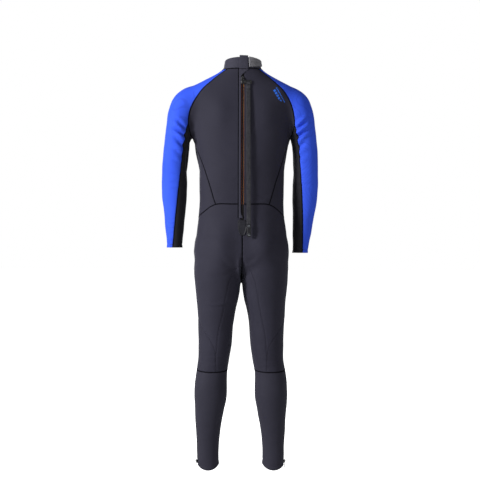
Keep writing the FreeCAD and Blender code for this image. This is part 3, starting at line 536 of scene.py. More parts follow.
def outside(p):
    """How far points are outside the body; the suit's outer surface is where this is 0."""
    x, y, z = p[..., 0], p[..., 1], p[..., 2]
    distance = np.where(z > TORSO_END[1], from_ring(x, y, torso_ring(z), 2.35), 1e3)
    ring = leg_ring(z)
    legs = blend(from_ring(x, y, ring, 2.1), from_ring(-x, y, ring, 2.1), LEG_SOFT)
    joined = blend(distance, legs + HIP_SOFT * fade(z, *LEG_TOP), HIP_SOFT)
    distance = np.where(z < LEG_TOP[1], joined, distance)
    soft = arm_softness(z)
    arm = from_ring(np.abs(x), y, arm_ring(z), 2.1)
    joined = blend(distance, arm + soft * fade(z, *ARM_TOP), soft)
    distance = np.where((z > CUFF - BELOW_CUFF) & (z < ARM_TOP[1]), joined, distance)
    return distance - swelling(x, y, z)


def outward(p):
    """The directions straight out of the surface near points, and how steep they are."""
    e = 0.4
    g = np.empty(p.shape)
    for k in range(3):
        step = np.zeros(3)
        step[k] = e
        g[..., k] = outside(p + step) - outside(p - step)
    size = np.linalg.norm(g, axis=-1)
    return g / np.maximum(size, 1e-9)[..., None], size / (2 * e)


def onto_surface(p, rounds=5):
    """The points of the surface that nearby points come to, straight in or out."""
    p = np.array(p, float)
    for _ in range(rounds):
        direction, steepness = outward(p)
        p = p - direction * (outside(p) / np.maximum(steepness, 0.35))[..., None]
    return p


def first_crossing(start, direction, reach):
    """Where a line that starts inside or outside the body first crosses its surface."""
    start, direction = np.array(start, float), np.array(direction, float)
    along = np.arange(0.0, reach, 3.0)
    inside = outside(start + along[:, None] * direction) < 0
    changed = np.nonzero(inside != inside[0])[0]
    far = along[changed[0]] if len(changed) else reach
    near = far - 3.0
    for _ in range(20):
        middle = (near + far) / 2
        if (outside(start + middle * direction) < 0) != inside[0]:
            far = middle
        else:
            near = middle
    return start + far * direction


def behind(x, height):
    """The point of the back at x and a height."""
    return first_crossing((x, 260, height), (0, -1, 0), 420)


def before(x, height):
    """The point of the front at x and a height."""
    return first_crossing((x, -260, height), (0, 1, 0), 420)


def backs(*points):
    """The points of the back at several pairs of x and height."""
    return [behind(x, z) for x, z in points]


def fronts(*points):
    return [before(x, z) for x, z in points]


def around(ring, angle, height):
    """The point of the surface at an angle round a limb: 0 is +X and 90 is the back."""
    cx, cy = ring(height)[:2]
    a = math.radians(angle)
    return first_crossing((cx, cy, height), (math.cos(a), math.sin(a), 0), 320)


# ---------------------------------------------------------------- lines and grids


def smooth(points, count):
    """count + 1 points of a natural cubic spline through some points."""
    points = np.array(points, float)
    n = len(points)
    t = np.concatenate([[0], np.cumsum(np.linalg.norm(np.diff(points, axis=0), axis=1))])
    h = np.diff(t)
    system = np.zeros((n, n))
    right = np.zeros((n, 3))
    system[0, 0] = system[-1, -1] = 1
    for i in range(1, n - 1):
        system[i, i - 1 : i + 2] = h[i - 1], 2 * (h[i - 1] + h[i]), h[i]
        right[i] = 6 * ((points[i + 1] - points[i]) / h[i] - (points[i] - points[i - 1]) / h[i - 1])
    bend = np.linalg.solve(system, right)
    want = np.linspace(0, t[-1], count + 1)
    i = np.clip(np.searchsorted(t, want, side="right") - 1, 0, n - 2)
    a, b, span = (t[i + 1] - want)[:, None], (want - t[i])[:, None], h[i][:, None]
    return (
        bend[i] * a**3 / (6 * span)
        + bend[i + 1] * b**3 / (6 * span)
        + (points[i] / span - bend[i] * span / 6) * a
        + (points[i + 1] / span - bend[i + 1] * span / 6) * b
    )


def seam(points, steps=12):
    """A fine line on the surface, smooth through some points of it."""
    points = [np.array(p, float) for p in points]
    if len(points) > 2:
        fine = smooth(points, steps * (len(points) - 1))
    else:
        share = np.linspace(0, 1, steps + 1)[:, None]
        fine = points[0] * (1 - share) + points[1] * share
    fine[1:-1] = onto_surface(fine[1:-1])
    return fine


def lengths(line):
    return np.concatenate([[0], np.cumsum(np.linalg.norm(np.diff(line, axis=0), axis=1))])


def at(line, share):
    """The points at shares of a line's length."""
    along = lengths(line)
    want = np.asarray(share) * along[-1]
    return np.stack([np.interp(want, along, line[:, k]) for k in range(3)], axis=-1)


def part_of(line, start, end):
    """The stretch of a line between two shares of its length."""
    share = lengths(line) / lengths(line)[-1]
    inner = line[(share > start) & (share < end)]
    return np.vstack([at(line, start), inner, at(line, end)])


def nearest_share(line, point):
    along = lengths(line)
    best = np.argmin(np.linalg.norm(line - point, axis=1))
    return along[best] / along[-1]


def joined(*lines):
    """Lines end to end as one line, without the points they share."""
    return np.vstack([lines[0]] + [line[1:] for line in lines[1:]])


def flipped(line):
    """The same line on the other side of the body."""
    return line * np.array([-1, 1, 1])


NEAR_EDGE = (0.75, 1.5, 2.4, 3.6, 5.2)  # first grid lines beside a sewn edge


def spread(length, count, low, high):
    """Distances across a width: close together beside a sewn edge, even elsewhere."""
    length = np.asarray(length, float)[:, None]
    near = np.array(NEAR_EDGE)[None, :] * np.minimum(length / 24.0, 1.0)
    start = near if low else np.zeros_like(length)
    stop = (length - near)[:, ::-1] if high else length
    share = np.linspace(0, 1, count + 2)[None, 1:-1]
    middle = start[:, -1:] * (1 - share) + stop[:, :1] * share
    return np.hstack([start, middle, stop])


def patch(top, bottom, left, right, step, sewn, down):
    """A grid of surface points between four lines, and how far each is from a sewn edge.

    sewn says which of the top, bottom, left and right edges are sewn.
    """
    width = max(min(lengths(top)[-1], lengths(bottom)[-1]), 3.0)
    height = min(lengths(left)[-1], lengths(right)[-1])
    v_mm = spread(np.array([height]), down, sewn[0], sewn[1])[0]
    v = v_mm / height
    near, far = at(left, v), at(right, v)
    across_here = np.maximum(np.linalg.norm(far - near, axis=1), width)
    across = max(int(across_here.max() / step), 2)
    u_mm = spread(across_here, across, sewn[2], sewn[3])
    u = (u_mm / across_here[:, None])[..., None]
    v = v[:, None, None]
    ruled = at(top, u[..., 0]) * (1 - v) + at(bottom, u[..., 0]) * v
    sides = near[:, None] * (1 - u) + far[:, None] * u
    corners = (top[0] * (1 - u) + top[-1] * u) * (1 - v) + (bottom[0] * (1 - u) + bottom[-1] * u) * v
    grid = onto_surface(ruled + sides - corners, 4)
    edge = np.full(u_mm.shape, 1e3)
    for is_sewn, distance in zip(
        sewn, (v_mm[:, None], height - v_mm[:, None], u_mm, across_here[:, None] - u_mm)
    ):
        if is_sewn:
            edge = np.minimum(edge, distance)
    return grid, edge


def panel_grid(rails, tops, bottoms, step, sewn="tblr"):
    """The grid of a panel that hangs between several lines down it."""
    sewn = [side in sewn for side in "tblr"]
    down = max(int(max(lengths(rail)[-1] for rail in rails) / step), 3)
    grids, edges = [], []
    last = len(rails) - 2
    for k, (left, right) in enumerate(zip(rails, rails[1:])):
        here = (sewn[0], sewn[1], sewn[2] and k == 0, sewn[3] and k == last)
        grid, edge = patch(tops[k], bottoms[k], left, right, step, here, down)
        grids.append(grid if k == 0 else grid[:, 1:])
        edges.append(edge if k == 0 else edge[:, 1:])
    return np.concatenate(grids, axis=1), np.concatenate(edges, axis=1)


# ---------------------------------------------------------------- folds in the fabric


def folds():
    """Each fold: points on the surface, height, width, all in millimetres."""
    out = []

    def fold(points, high, wide):
        line = smooth(points, 24) if len(points) > 2 else seam(points, 24)
        out.append((onto_surface(line), high, wide))

    for side in (-1, 1):
        for points, high, wide in (
            (((234, 1216), (214, 1197), (196, 1184)), 7.0, 8.5),
            (((226, 1240), (206, 1222), (186, 1206)), 4.0, 9.0),
            (((232, 1200), (210, 1184), (188, 1166)), -9.0, 6.0),
            (((226, 1232), (210, 1214), (190, 1196)), -6.0, 5.5),
            (((226, 1180), (208, 1164), (192, 1150)), 6.5, 8.0),
            (((222, 1152), (206, 1140), (194, 1132)), -4.0, 6.0),
            (((230, 1134), (210, 1120), (196, 1110)), 3.4, 8.0),
            (((234, 1098), (214, 1088), (200, 1080)), 2.0, 8.0),
            (((178, 1200), (168, 1165), (156, 1125)), 3.4, 7.5),
            (((172, 1192), (160, 1152), (148, 1110)), -2.6, 6.5),
            (((62, 748), (38, 726), (12, 714)), 1.8, 9.0),
            (((130, 700), (90, 694), (40, 706)), 1.0, 10.0),
        ):
            fold([behind(side * x, z) for x, z in points], high, wide)
        beside = [around(torso_ring, 0, z) * np.array([side, 1, 1]) for z in (1158, 1130, 1095, 1050)]
        fold(beside, 4.5 if side > 0 else 2.5, 13.0)
        for z0, high in ((372, 0.9), (398, 0.8)):
            fold([behind(side * x, z0 - abs(x - 90) * 0.12) for x in (64, 90, 122)], high, 6.0)
        for z0, high in ((1010, 1.6), (985, 1.3), (1040, 1.2)):
            points = [around(arm_ring, a, z0 + math.sin(math.radians(a)) * 5) for a in (60, 95, 130)]
            fold([p * np.array([side, 1, 1]) for p in points], high, 6.5)
    fold(backs((122, 586), (96, 581), (66, 584), (34, 600)), 2.4, 5.0)
    fold([behind(0.5, z) for z in (745, 715, 690, 668)], -12.0, 7.0)
    fold(backs((90, 592), (66, 594), (36, 611)), 0.8, 4.5)
    fold(backs((112, 962), (80, 950), (40, 955)), 1.2, 9.0)
    fold(backs((-108, 958), (-74, 944), (-36, 952)), 1.2, 9.0)
    return out


FOLDS = folds()


def relief(points, normals):
    """How far the fabric's folds and unevenness lift it at points of the surface."""
    flat = points.reshape(-1, 3)
    out = normals.reshape(-1, 3)
    lift = np.zeros(len(flat))
    for line, high, wide in FOLDS:
        low, top = line.min(axis=0) - 3 * wide, line.max(axis=0) + 3 * wide
        near = np.nonzero(np.all((flat > low) & (flat < top), axis=1))[0]
        if not len(near):
            continue
        gap = flat[near, None, :] - line[None]
        best = np.argmin((gap**2).sum(axis=2), axis=1)
        tangent = np.gradient(line, axis=0)
        tangent /= np.linalg.norm(tangent, axis=1)[:, None]
        v = gap[np.arange(len(near)), best]
        side = np.cross(tangent[best], out[near])
        across = (v * side).sum(axis=1) / wide
        beyond = (v * tangent[best]).sum(axis=1) / (1.5 * wide)
        taper = np.sin(np.pi * np.clip((best + 0.5) / len(line), 0, 1)) ** 0.8
        shape = np.exp(-(across**2)) - 0.7 * np.exp(-((across - 1.5) ** 2) / 0.8)
        lift[near] += high * taper * shape * np.exp(-(beyond**2))
    for scale, size in ((1 / 74.0, 0.9), (1 / 31.0, 0.35)):
        wave = flat * scale
        ripple = np.sin(wave[:, 0] * 2.1 + 1.7 * np.sin(wave[:, 2] * 1.3))
        lift += size * (ripple * np.sin(wave[:, 2] * 1.9 + wave[:, 1]))
    return lift.reshape(points.shape[:-1])


# ---------------------------------------------------------------- meshes


# How far the left and the right arm are shifted to the wearer's left and up, and how much
# further to the left the cuff swings.
ARM_SWAY = {1: (7.0, 11.0, 9.0), -1: (2.5, -6.0, 8.0)}
ARM_CLEAR = 1165  # the height below which the arm is apart from the body


def hung(p):
    """The arms hang a little unevenly: the left one further out and up, the right one lower."""
    p = np.array(p, float)
    x, z = p[..., 0].copy(), p[..., 2].copy()
    for side, (across, up, swing) in ARM_SWAY.items():
        out = x * side
        on_arm = np.where(z < ARM_CLEAR, ease((out - 166) / 12), ease((out - 150) / 45))
        shift = across * (1.0 if side > 0 else ease((ARM_CLEAR - z) / 150))
        shift = shift + swing * np.clip((1060 - z) / 290, 0, 2) ** 1.6
        p[..., 0] += shift * on_arm
        p[..., 2] += up * ease((out - 176) / 8) * ease((1120 - z) / 340)
    return p


def row(p):
    """Built millimetres into the row frame's metres."""
    return (np.asarray(p, float) - np.array([0, NECK_MIDDLE, NECK_HEIGHT])) / 1000


def make(name, points, faces, material, body, slot, replaces=None):
    """A smooth-shaded piece from points in the row frame; it replaces the node of its name."""
    mesh = bpy.data.meshes.new(name)
    mesh.from_pydata([tuple(p) for p in points], [], faces)
    mesh.update()
    for polygon in mesh.polygons:
        polygon.use_smooth = True
    mesh.materials.append(material)
    ob = bpy.data.objects.new(name, mesh)
    bpy.context.collection.objects.link(ob)
    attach(ob, body)
    if replaces is None and name in frame["nodes"]:
        replaces = [name]
    if replaces:
        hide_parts(*replaces)
    return ob


def sheet_faces(rows, columns):
    """Faces of a closed sheet: one grid outside, the same grid inside, and the rim."""
    r, c = np.meshgrid(np.arange(rows - 1), np.arange(columns - 1), indexing="ij")
    a = (r * columns + c).ravel()
    quads = np.stack([a, a + columns, a + columns + 1, a + 1], axis=1)
    count = rows * columns
    faces = [quads, quads[:, ::-1] + count]
    top, bottom = np.arange(columns), np.arange(columns) + (rows - 1) * columns
    left, right = np.arange(rows) * columns, np.arange(rows) * columns + columns - 1
    for rim, turned in ((top, False), (bottom, True), (left, True), (right, False)):
        a, b = rim[:-1], rim[1:]
        quad = np.stack([a, b, b + count, a + count], axis=1)
        faces.append(quad[:, ::-1] if turned else quad)
    return np.vstack(faces).tolist()


GROOVE_DEEP, GROOVE_WIDE = 1.3, 2.4


def groove(edge):
    """How far the fabric dips towards a sewn edge."""
    return GROOVE_DEEP * np.exp(-((edge / GROOVE_WIDE) ** 2))


def fabric(name, grid, edge, material, side, outer=0.0, thick=FABRIC, slot="black_neoprene", hem=None):
    """A panel of neoprene with thickness; side is -1 for the wearer's right."""
    if side < 0:
        grid, edge = flipped(grid)[:, ::-1], edge[:, ::-1]
    normal = outward(grid)[0]
    lift = outer + relief(grid, normal) - groove(edge)
    if hem is not None:
        lift = lift + hem(grid)
    top = grid + normal * lift[..., None]
    below = grid + normal * (np.minimum(lift, outer + 1.5) - thick + 0.5 * groove(edge))[..., None]
    points = row(hung(np.concatenate([top.reshape(-1, 3), below.reshape(-1, 3)])))
    faces = sheet_faces(*grid.shape[:2])
    node = {1: "_left", -1: "_right", 0: ""}[side]
    make(name + node, points, faces, material, "suit", slot)


def both_sides(name, grid_and_edge, material, **more):
    for side in (1, -1):
        fabric(name, *grid_and_edge, material, side, **more)


SEWN = []  # every sewn line: name, points, and whether flat stitching shows on it


def sewn(name, line, mirror=True, flat=True):
    SEWN.append((name + ("_left" if mirror else ""), line, flat))
    if mirror:
        SEWN.append((name + "_right", flipped(line)[::-1], flat))


STITCH_PITCH = 1.8
FLAT_SEAM = (2.1, 0.1, 0.22)  # half width, height and how far the thread's ribs stand out
GLUED_SEAM = (1.1, -0.55, 0.0)
# Across a seam: share of the half width, height, and whether the thread's ribs show.
SEAM_SECTION = [
    (-1.0, -1.3, 0), (-0.78, -0.12, 1), (-0.4, 0.2, 1), (0.0, 0.02, 1), (0.4, 0.2, 1),
    (0.78, -0.12, 1), (1.0, -1.3, 0), (0.5, -1.7, 0), (-0.5, -1.7, 0),
]


def tube_faces(rows, columns):
    """Faces of a closed tube of rings, with both ends filled."""
    r, c = np.meshgrid(np.arange(rows - 1), np.arange(columns), indexing="ij")
    a = (r * columns + c).ravel()
    b = (r * columns + (c + 1) % columns).ravel()
    faces = np.stack([a, b, b + columns, a + columns], axis=1).tolist()
    faces.append(list(range(columns))[::-1])
    faces.append([(rows - 1) * columns + k for k in range(columns)])
    return faces


def stitching():
    """Seams: a band of thread over a flat seam, a thin ridge over a glued one."""
    offset, height, ribbed = np.array(SEAM_SECTION).T
    for name, line, flat in SEWN:
        half, high, rib = FLAT_SEAM if flat else GLUED_SEAM
        count = max(int(lengths(line)[-1] / (STITCH_PITCH / 2)), 6)
        middle = onto_surface(at(line, np.linspace(0.0, 1.0, count + 1)), 3)
        normal = outward(middle)[0]
        tangent = np.gradient(middle, axis=0)
        tangent /= np.linalg.norm(tangent, axis=1)[:, None]
        side = np.cross(tangent, normal)
        odd = np.where(np.arange(count + 1) % 2, rib, 0.0)
        rise = height + (high + odd[:, None]) * ribbed + relief(middle, normal)[:, None]
        ring = middle[:, None] + side[:, None] * (half * offset)[None, :, None]
        ring = ring + normal[:, None] * rise[..., None]
        material = THREAD if flat else BLACK
        faces = tube_faces(*ring.shape[:2])
        make("seam_" + name, row(hung(ring.reshape(-1, 3))), faces, material, "suit", "black_neoprene")


# ---------------------------------------------------------------- seam lines (wearer's left)


def seam_height(angle):
    """Height of the collar seam round the neck: level at the back, lower in front."""
    forward = max(0.0, -math.sin(math.radians(angle)))
    return COLLAR_SEAM[0] - (COLLAR_SEAM[0] - COLLAR_SEAM[1]) * forward**2


def collar_height(angle):
    back, front = COLLAR_TOP
    return (back + front) / 2 + (back - front) / 2 * math.sin(math.radians(angle))


def ring_line(ring, start, end, height, turns=8):
    """A line round a limb between two angles, at a height that depends on the angle."""
    angles = [start + (end - start) * i / turns for i in range(turns + 1)]
    return seam([around(ring, a, height(a)) for a in angles], 5)


def collar_seam(start, end, turns=6):
    return ring_line(torso_ring, start, end, seam_height, turns)


def knee_height(angle):
    return 352 - 7 * math.sin(math.radians(angle))


def hem_height(angle):
    """Height of a leg hem at an angle round the leg: it dips at the back."""
    turn = math.radians(angle)
    return HEM_SIDE * (math.cos(turn) ** 2 if math.sin(turn) > 0 else 1.0)


def level(height):
    return lambda angle: height


NECK_BACK, RAGLAN_BACK, SHOULDER, RAGLAN_FRONT = 86.0, 40.0, -8.0, -38.0
CUFF_BACK, CUFF_FRONT = 78.0, -82.0

armpit = onto_surface((173, -4, 1174))
raglan = seam(
    [around(torso_ring, RAGLAN_BACK, seam_height(RAGLAN_BACK))]
    + backs((80, 1386), (102, 1368), (132, 1341), (157, 1309), (173, 1275))
    + backs((181, 1243), (183, 1217), (180, 1193))
    + [armpit]
    + fronts((177, 1200), (174, 1226), (164, 1266), (146, 1305))
    + fronts((118, 1340), (90, 1366))
    + [around(torso_ring, RAGLAN_FRONT, seam_height(RAGLAN_FRONT))]
)
at_armpit = nearest_share(raglan, armpit)
armpit = at(raglan, at_armpit)
blue_back = nearest_share(raglan, behind(183, 1215))
blue_front = nearest_share(raglan, before(175, 1216))
side_back = nearest_share(raglan, behind(179, 1189))
side_front = nearest_share(raglan, before(176.5, 1195))

sleeve_back = seam(
    [at(raglan, blue_back)]
    + backs((193, 1170), (203, 1095), (210, 1020), (216, 950), (221, 873))
    + [around(arm_ring, CUFF_BACK, CUFF)]
)
sleeve_front = seam(
    [at(raglan, blue_front)]
    + fronts((185, 1188), (193, 1150), (202, 1095), (208, 1020), (213, 950))
    + [before(218, 873)]
    + [around(arm_ring, CUFF_FRONT, CUFF)]
)
shoulder_line = seam(
    [around(torso_ring, SHOULDER, seam_height(SHOULDER))]
    + [around(torso_ring, -6, z) for z in (1381, 1355, 1332)]
    + [around(arm_ring, a, z) for a, z in ((22, 1300), (8, 1255), (0, 1180), (0, 1060), (0, 910))]
    + [around(arm_ring, 0, CUFF)]
)
underarm_line = seam(
    [armpit]
    + [around(arm_ring, 180, z) for z in (1140, 1060, 970, 870)]
    + [around(arm_ring, 180, CUFF)]
)

waist = seam(
    backs((ZIP_EDGE, 931), (50, 931), (94, 929), (138, 900))
    + [around(torso_ring, -8, 884)]
    + fronts((112, 882), (60, 890), (0, 896)),
    14,
)
waist_back = nearest_share(waist, behind(94, 929))
waist_side = nearest_share(waist, around(torso_ring, -8, 884))
waist_front = nearest_share(waist, before(104, 883))

zip_edge = seam(
    [around(torso_ring, NECK_BACK, seam_height(NECK_BACK))]
    + [behind(ZIP_EDGE, z) for z in (1380, 1300, 1200, 1100, 1000)]
    + [waist[0]]
)
side_seam_back = seam(
    [at(raglan, side_back)]
    + backs((163, 1145), (151, 1108), (134, 1060), (117, 1010), (104, 965))
    + [at(waist, waist_back)]
)
side_seam_front = seam(
    [at(raglan, side_front)]
    + fronts((162, 1150), (150, 1110), (136, 1060), (121, 1000), (110, 940))
    + [at(waist, waist_front)]
)
side_line = seam(
    [armpit] + [around(torso_ring, 0, z) for z in (1135, 1060, 990, 930)] + [at(waist, waist_side)]
)
chest_line = seam(
    [around(torso_ring, -90, seam_height(-90))]
    + [before(0, z) for z in (1340, 1260, 1160, 1060, 960)]
    + [waist[-1]]
)

crotch_bottom = onto_surface((0.3, 4, 657))
crotch_back, crotch_front = behind(0.3, 722), before(0.3, 735)
crotch = seam(
    [crotch_back, behind(0.3, 700), behind(0.3, 677), crotch_bottom]
    + [before(0.3, 677), before(0.3, 705), crotch_front]
)
at_bottom = nearest_share(crotch, crotch_bottom)
crotch_bottom = at(crotch, at_bottom)
seat_seam = seam(
    [waist[0]]
    + [behind(ZIP_EDGE, 905), behind(ZIP_EDGE, 885), behind(4.4, 866)]
    + backs((2.6, 848), (1.3, 832), (0.8, 815), (0.7, 795), (0.5, 755))
    + [crotch_back]
)
belly_seam = seam([waist[-1], before(0.3, 840), before(0.3, 780), crotch_front])
thigh_seam_back = seam(
    [crotch_back]
    + backs((22, 706), (42, 668), (55, 611), (68, 541), (83, 468), (87, 415))
)
knee_split = around(leg_ring, 104, knee_height(104))
knee_seam_back = seam([behind(89, 415), behind(89.5, 382), knee_split])
inner_seam_back = joined(thigh_seam_back[:-1], knee_seam_back)
knee_end = around(leg_ring, -109, knee_height(-109))
inner_seam_front = seam(
    [crotch_front]
    + fronts((24, 706), (46, 650), (61, 580), (73, 500), (80, 430))
    + [knee_end]
)
inner_line = seam(
    [crotch_bottom]
    + [around(leg_ring, 180, z) for z in (590, 520, 440)]
    + [around(leg_ring, 180, knee_height(180))]
)
knee_top_front = nearest_share(inner_seam_front, before(75, 487))
outer_turn = around(leg_ring, 4, 532)
seat_line = seam(
    [at(waist, waist_back * 0.9)]
    + backs((88, 800), (88, 700), (92, 600), (97, 510), (93, 455), (89, 415))
)
knee_arch = seam(
    backs((91, 415), (99, 440), (121, 476), (141, 507))
    + [outer_turn]
    + [around(leg_ring, angle, z) for angle, z in ((-30, 524), (-60, 506), (-90, 493))]
    + [at(inner_seam_front, knee_top_front)]
)
at_turn = nearest_share(knee_arch, outer_turn)
outer_turn = at(knee_arch, at_turn)
outer_seam = seam(
    [at(waist, waist_side)]
    + [around(leg_ring, angle, z) for angle, z in ((-14, 800), (-13, 710), (-8, 620))]
    + [outer_turn]
)
outer_sweep = part_of(knee_arch, 0, at_turn)[::-1]
knee_top = part_of(knee_arch, at_turn, 1)
at_knee_front = nearest_share(knee_top, around(leg_ring, -90, 493))
belly_line = seam(
    [at(waist, (waist_side + 1) / 2)]
    + fronts((84, 780), (90, 660), (93, 560))
    + [at(knee_top, at_knee_front)]
)


def down_leg(angle):
    """A line down the lower leg from the knee seam to the hem."""
    heights = (310, 270, 230, 205, 185, 166, 120, 60)
    turn = angle if callable(angle) else level(angle)
    top, low = turn(knee_height(0)), turn(0)
    return seam(
        [around(leg_ring, top, knee_height(top))]
        + [around(leg_ring, turn(z), z) for z in heights]
        + [around(leg_ring, low, hem_height(low))]
    )


def beside_zip(height):
    """How many degrees the edge of the ankle slit is from its middle."""
    slit = math.degrees(ANKLE_EDGE / 42)
    above = min(max((height - ANKLE_HIGH) / SLIT_TAPER, 0.0), 1.0)
    return slit * (1 + math.cos(math.pi * above)) / 2


def slit_back(height):
    return ANKLE_ANGLE + beside_zip(height)


def slit_front(height):
    return ANKLE_ANGLE - beside_zip(height)


# ---------------------------------------------------------------- neoprene panels

STEP = 4.5


def back_panel():
    outer = joined(part_of(raglan, 0, side_back), side_seam_back)
    top, bottom = collar_seam(NECK_BACK, RAGLAN_BACK), part_of(waist, 0, waist_back)
    both_sides("back_panel", panel_grid([zip_edge, outer], [top], [bottom], STEP), BLACK)


def side_panel():
    tops = [part_of(raglan, side_back, at_armpit), part_of(raglan, at_armpit, side_front)]
    bottoms = [part_of(waist, waist_back, waist_side), part_of(waist, waist_side, waist_front)]
    rails = [side_seam_back, side_line, side_seam_front]
    both_sides("side_panel", panel_grid(rails, tops, bottoms, STEP), BLACK)


def chest_panel():
    outer = joined(part_of(raglan, side_front, 1)[::-1], side_seam_front)
    top, bottom = collar_seam(RAGLAN_FRONT, -90), part_of(waist, waist_front, 1)
    rails = [outer, chest_line, flipped(outer)]
    tops = [top, flipped(top)[::-1]]
    bottoms = [bottom, flipped(bottom)[::-1]]
    fabric("chest_panel", *panel_grid(rails, tops, bottoms, STEP), BLACK, 0)


HEM_REACH = 60.0
HEM_LINE_DEEP, HEM_LINE_WIDE = 0.9, 2.2
ANKLE_CENTRE = (114.6, 2.2)


def hem_relief(up, out, wide, line):
    """A hem that stands a little out, with a stitch line above it; up is from its edge."""
    stands = out * np.exp(-((up / wide) ** 2))
    dips = HEM_LINE_DEEP * np.exp(-(((up - line) / HEM_LINE_WIDE) ** 2))
    return np.where(up < HEM_REACH, stands - dips, 0.0)


def cuff_flare(grid):
    return hem_relief(grid[..., 2] - CUFF, 1.1, 7.0, 11.5)


def ankle_flare(grid):
    turn = np.arctan2(grid[..., 1] - ANKLE_CENTRE[1], np.abs(grid[..., 0]) - ANKLE_CENTRE[0])
    up = grid[..., 2] - HEM_SIDE * np.where(turn > 0, np.cos(turn) ** 2, 1.0)
    return hem_relief(up, 1.4, 8.0, 12.0)


def sleeve():
    back = joined(part_of(raglan, 0, blue_back), sleeve_back)
    front = joined(part_of(raglan, blue_front, 1)[::-1], sleeve_front)
    tops = [collar_seam(RAGLAN_BACK, SHOULDER), collar_seam(SHOULDER, RAGLAN_FRONT)]
    bottoms = [
        ring_line(arm_ring, CUFF_BACK, 0, level(CUFF)),
        ring_line(arm_ring, 0, CUFF_FRONT, level(CUFF)),
    ]
    grid = panel_grid([back, shoulder_line, front], tops, bottoms, STEP, "tlr")
    both_sides("sleeve", grid, BLUE, slot="blue_neoprene", hem=cuff_flare)


def underarm():
    tops = [part_of(raglan, blue_back, at_armpit), part_of(raglan, at_armpit, blue_front)]
    bottoms = [
        ring_line(arm_ring, CUFF_BACK, 180, level(CUFF)),
        ring_line(arm_ring, 180, 360 + CUFF_FRONT, level(CUFF)),
    ]
    grid = panel_grid([sleeve_back, underarm_line, sleeve_front], tops, bottoms, STEP, "tlr")
    both_sides("underarm", grid, STRETCH, slot="stretch_neoprene", hem=cuff_flare)


def thigh_back():
    inner, outer = joined(seat_seam, thigh_seam_back), joined(outer_seam, outer_sweep)
    share = waist_back * 0.9
    tops = [part_of(waist, 0, share), part_of(waist, share, waist_side)]
    foot = [behind(x, 415) for x in (87, 89, 91)]
    bottoms = [np.array(foot[:2]), np.array(foot[1:])]
    both_sides("thigh_back", panel_grid([inner, seat_line, outer], tops, bottoms, STEP), BLACK)


def inner_thigh():
    tops = [part_of(crotch, 0, at_bottom), part_of(crotch, at_bottom, 1)]
    bottoms = [
        ring_line(leg_ring, 104, 180, knee_height),
        ring_line(leg_ring, 180, 251, knee_height),
    ]
    rails = [inner_seam_back, inner_line, inner_seam_front]
    both_sides("inner_thigh", panel_grid(rails, tops, bottoms, STEP), BLACK)


def thigh_front():
    inner = joined(belly_seam, part_of(inner_seam_front, 0, knee_top_front))
    share = (waist_side + 1) / 2
    tops = [part_of(waist, share, 1)[::-1], part_of(waist, waist_side, share)[::-1]]
    bottoms = [part_of(knee_top, at_knee_front, 1)[::-1], part_of(knee_top, 0, at_knee_front)[::-1]]
    both_sides("thigh_front", panel_grid([inner, belly_line, outer_seam], tops, bottoms, STEP), BLACK)


def knee_panel():
    side = seam([outer_turn, around(leg_ring, 2, 440), around(leg_ring, 0, knee_height(0))])
    front = seam(
        [at(knee_top, at_knee_front), around(leg_ring, -90, 420), around(leg_ring, -90, knee_height(-90))]
    )
    inner = part_of(inner_seam_front, knee_top_front, 1)
    tops = [outer_sweep[::-1], part_of(knee_top, 0, at_knee_front), part_of(knee_top, at_knee_front, 1)]
    bottoms = [
        ring_line(leg_ring, 104, 0, knee_height),
        ring_line(leg_ring, 0, -90, knee_height),
        ring_line(leg_ring, -90, -109, knee_height),
    ]
    back = seam([behind(91, 415), behind(90, 382), knee_split])
    grid = panel_grid([back, side, front, inner], tops, bottoms, STEP)
    both_sides("knee_panel", grid, KNEE, slot="knee_neoprene")


def lower_leg(name, edge, middle, inner):
    tops = [
        ring_line(leg_ring, ANKLE_ANGLE, middle, knee_height),
        ring_line(leg_ring, middle, inner, knee_height),
    ]
    bottoms = [
        ring_line(leg_ring, edge(0), middle, hem_height),
        ring_line(leg_ring, middle, inner, hem_height),
    ]
    rails = [down_leg(edge), down_leg(middle), down_leg(inner)]
    grid = panel_grid(rails, tops, bottoms, STEP, "tlr")
    both_sides(name, grid, CALF, slot="black_neoprene", hem=ankle_flare)


def collar():
    """One strip round the neck whose two ends meet above the zip."""
    end = math.degrees(math.acos(COLLAR_END / 68))
    angles = [end, 0, -90]
    rails = []
    for angle in angles:
        low, high = seam_height(angle), collar_height(angle)
        stops = [around(torso_ring, angle, low + (high - low) * t) for t in (0, 0.35, 0.7, 1)]
        rails.append(seam(stops)[::-1])
    tops = [ring_line(torso_ring, a, b, collar_height) for a, b in zip(angles, angles[1:])]
    bottoms = [collar_seam(a, b) for a, b in zip(angles, angles[1:])]
    rails += [flipped(rails[1]), flipped(rails[0])]
    tops += [flipped(t)[::-1] for t in tops[::-1]]
    bottoms += [flipped(b)[::-1] for b in bottoms[::-1]]
    grid = panel_grid(rails, tops, bottoms, 3.0, "b")
    fabric("collar", *grid, COLLAR, 0, slot="stretch_neoprene")


def above_hem(angle):
    return hem_height(angle) + 11


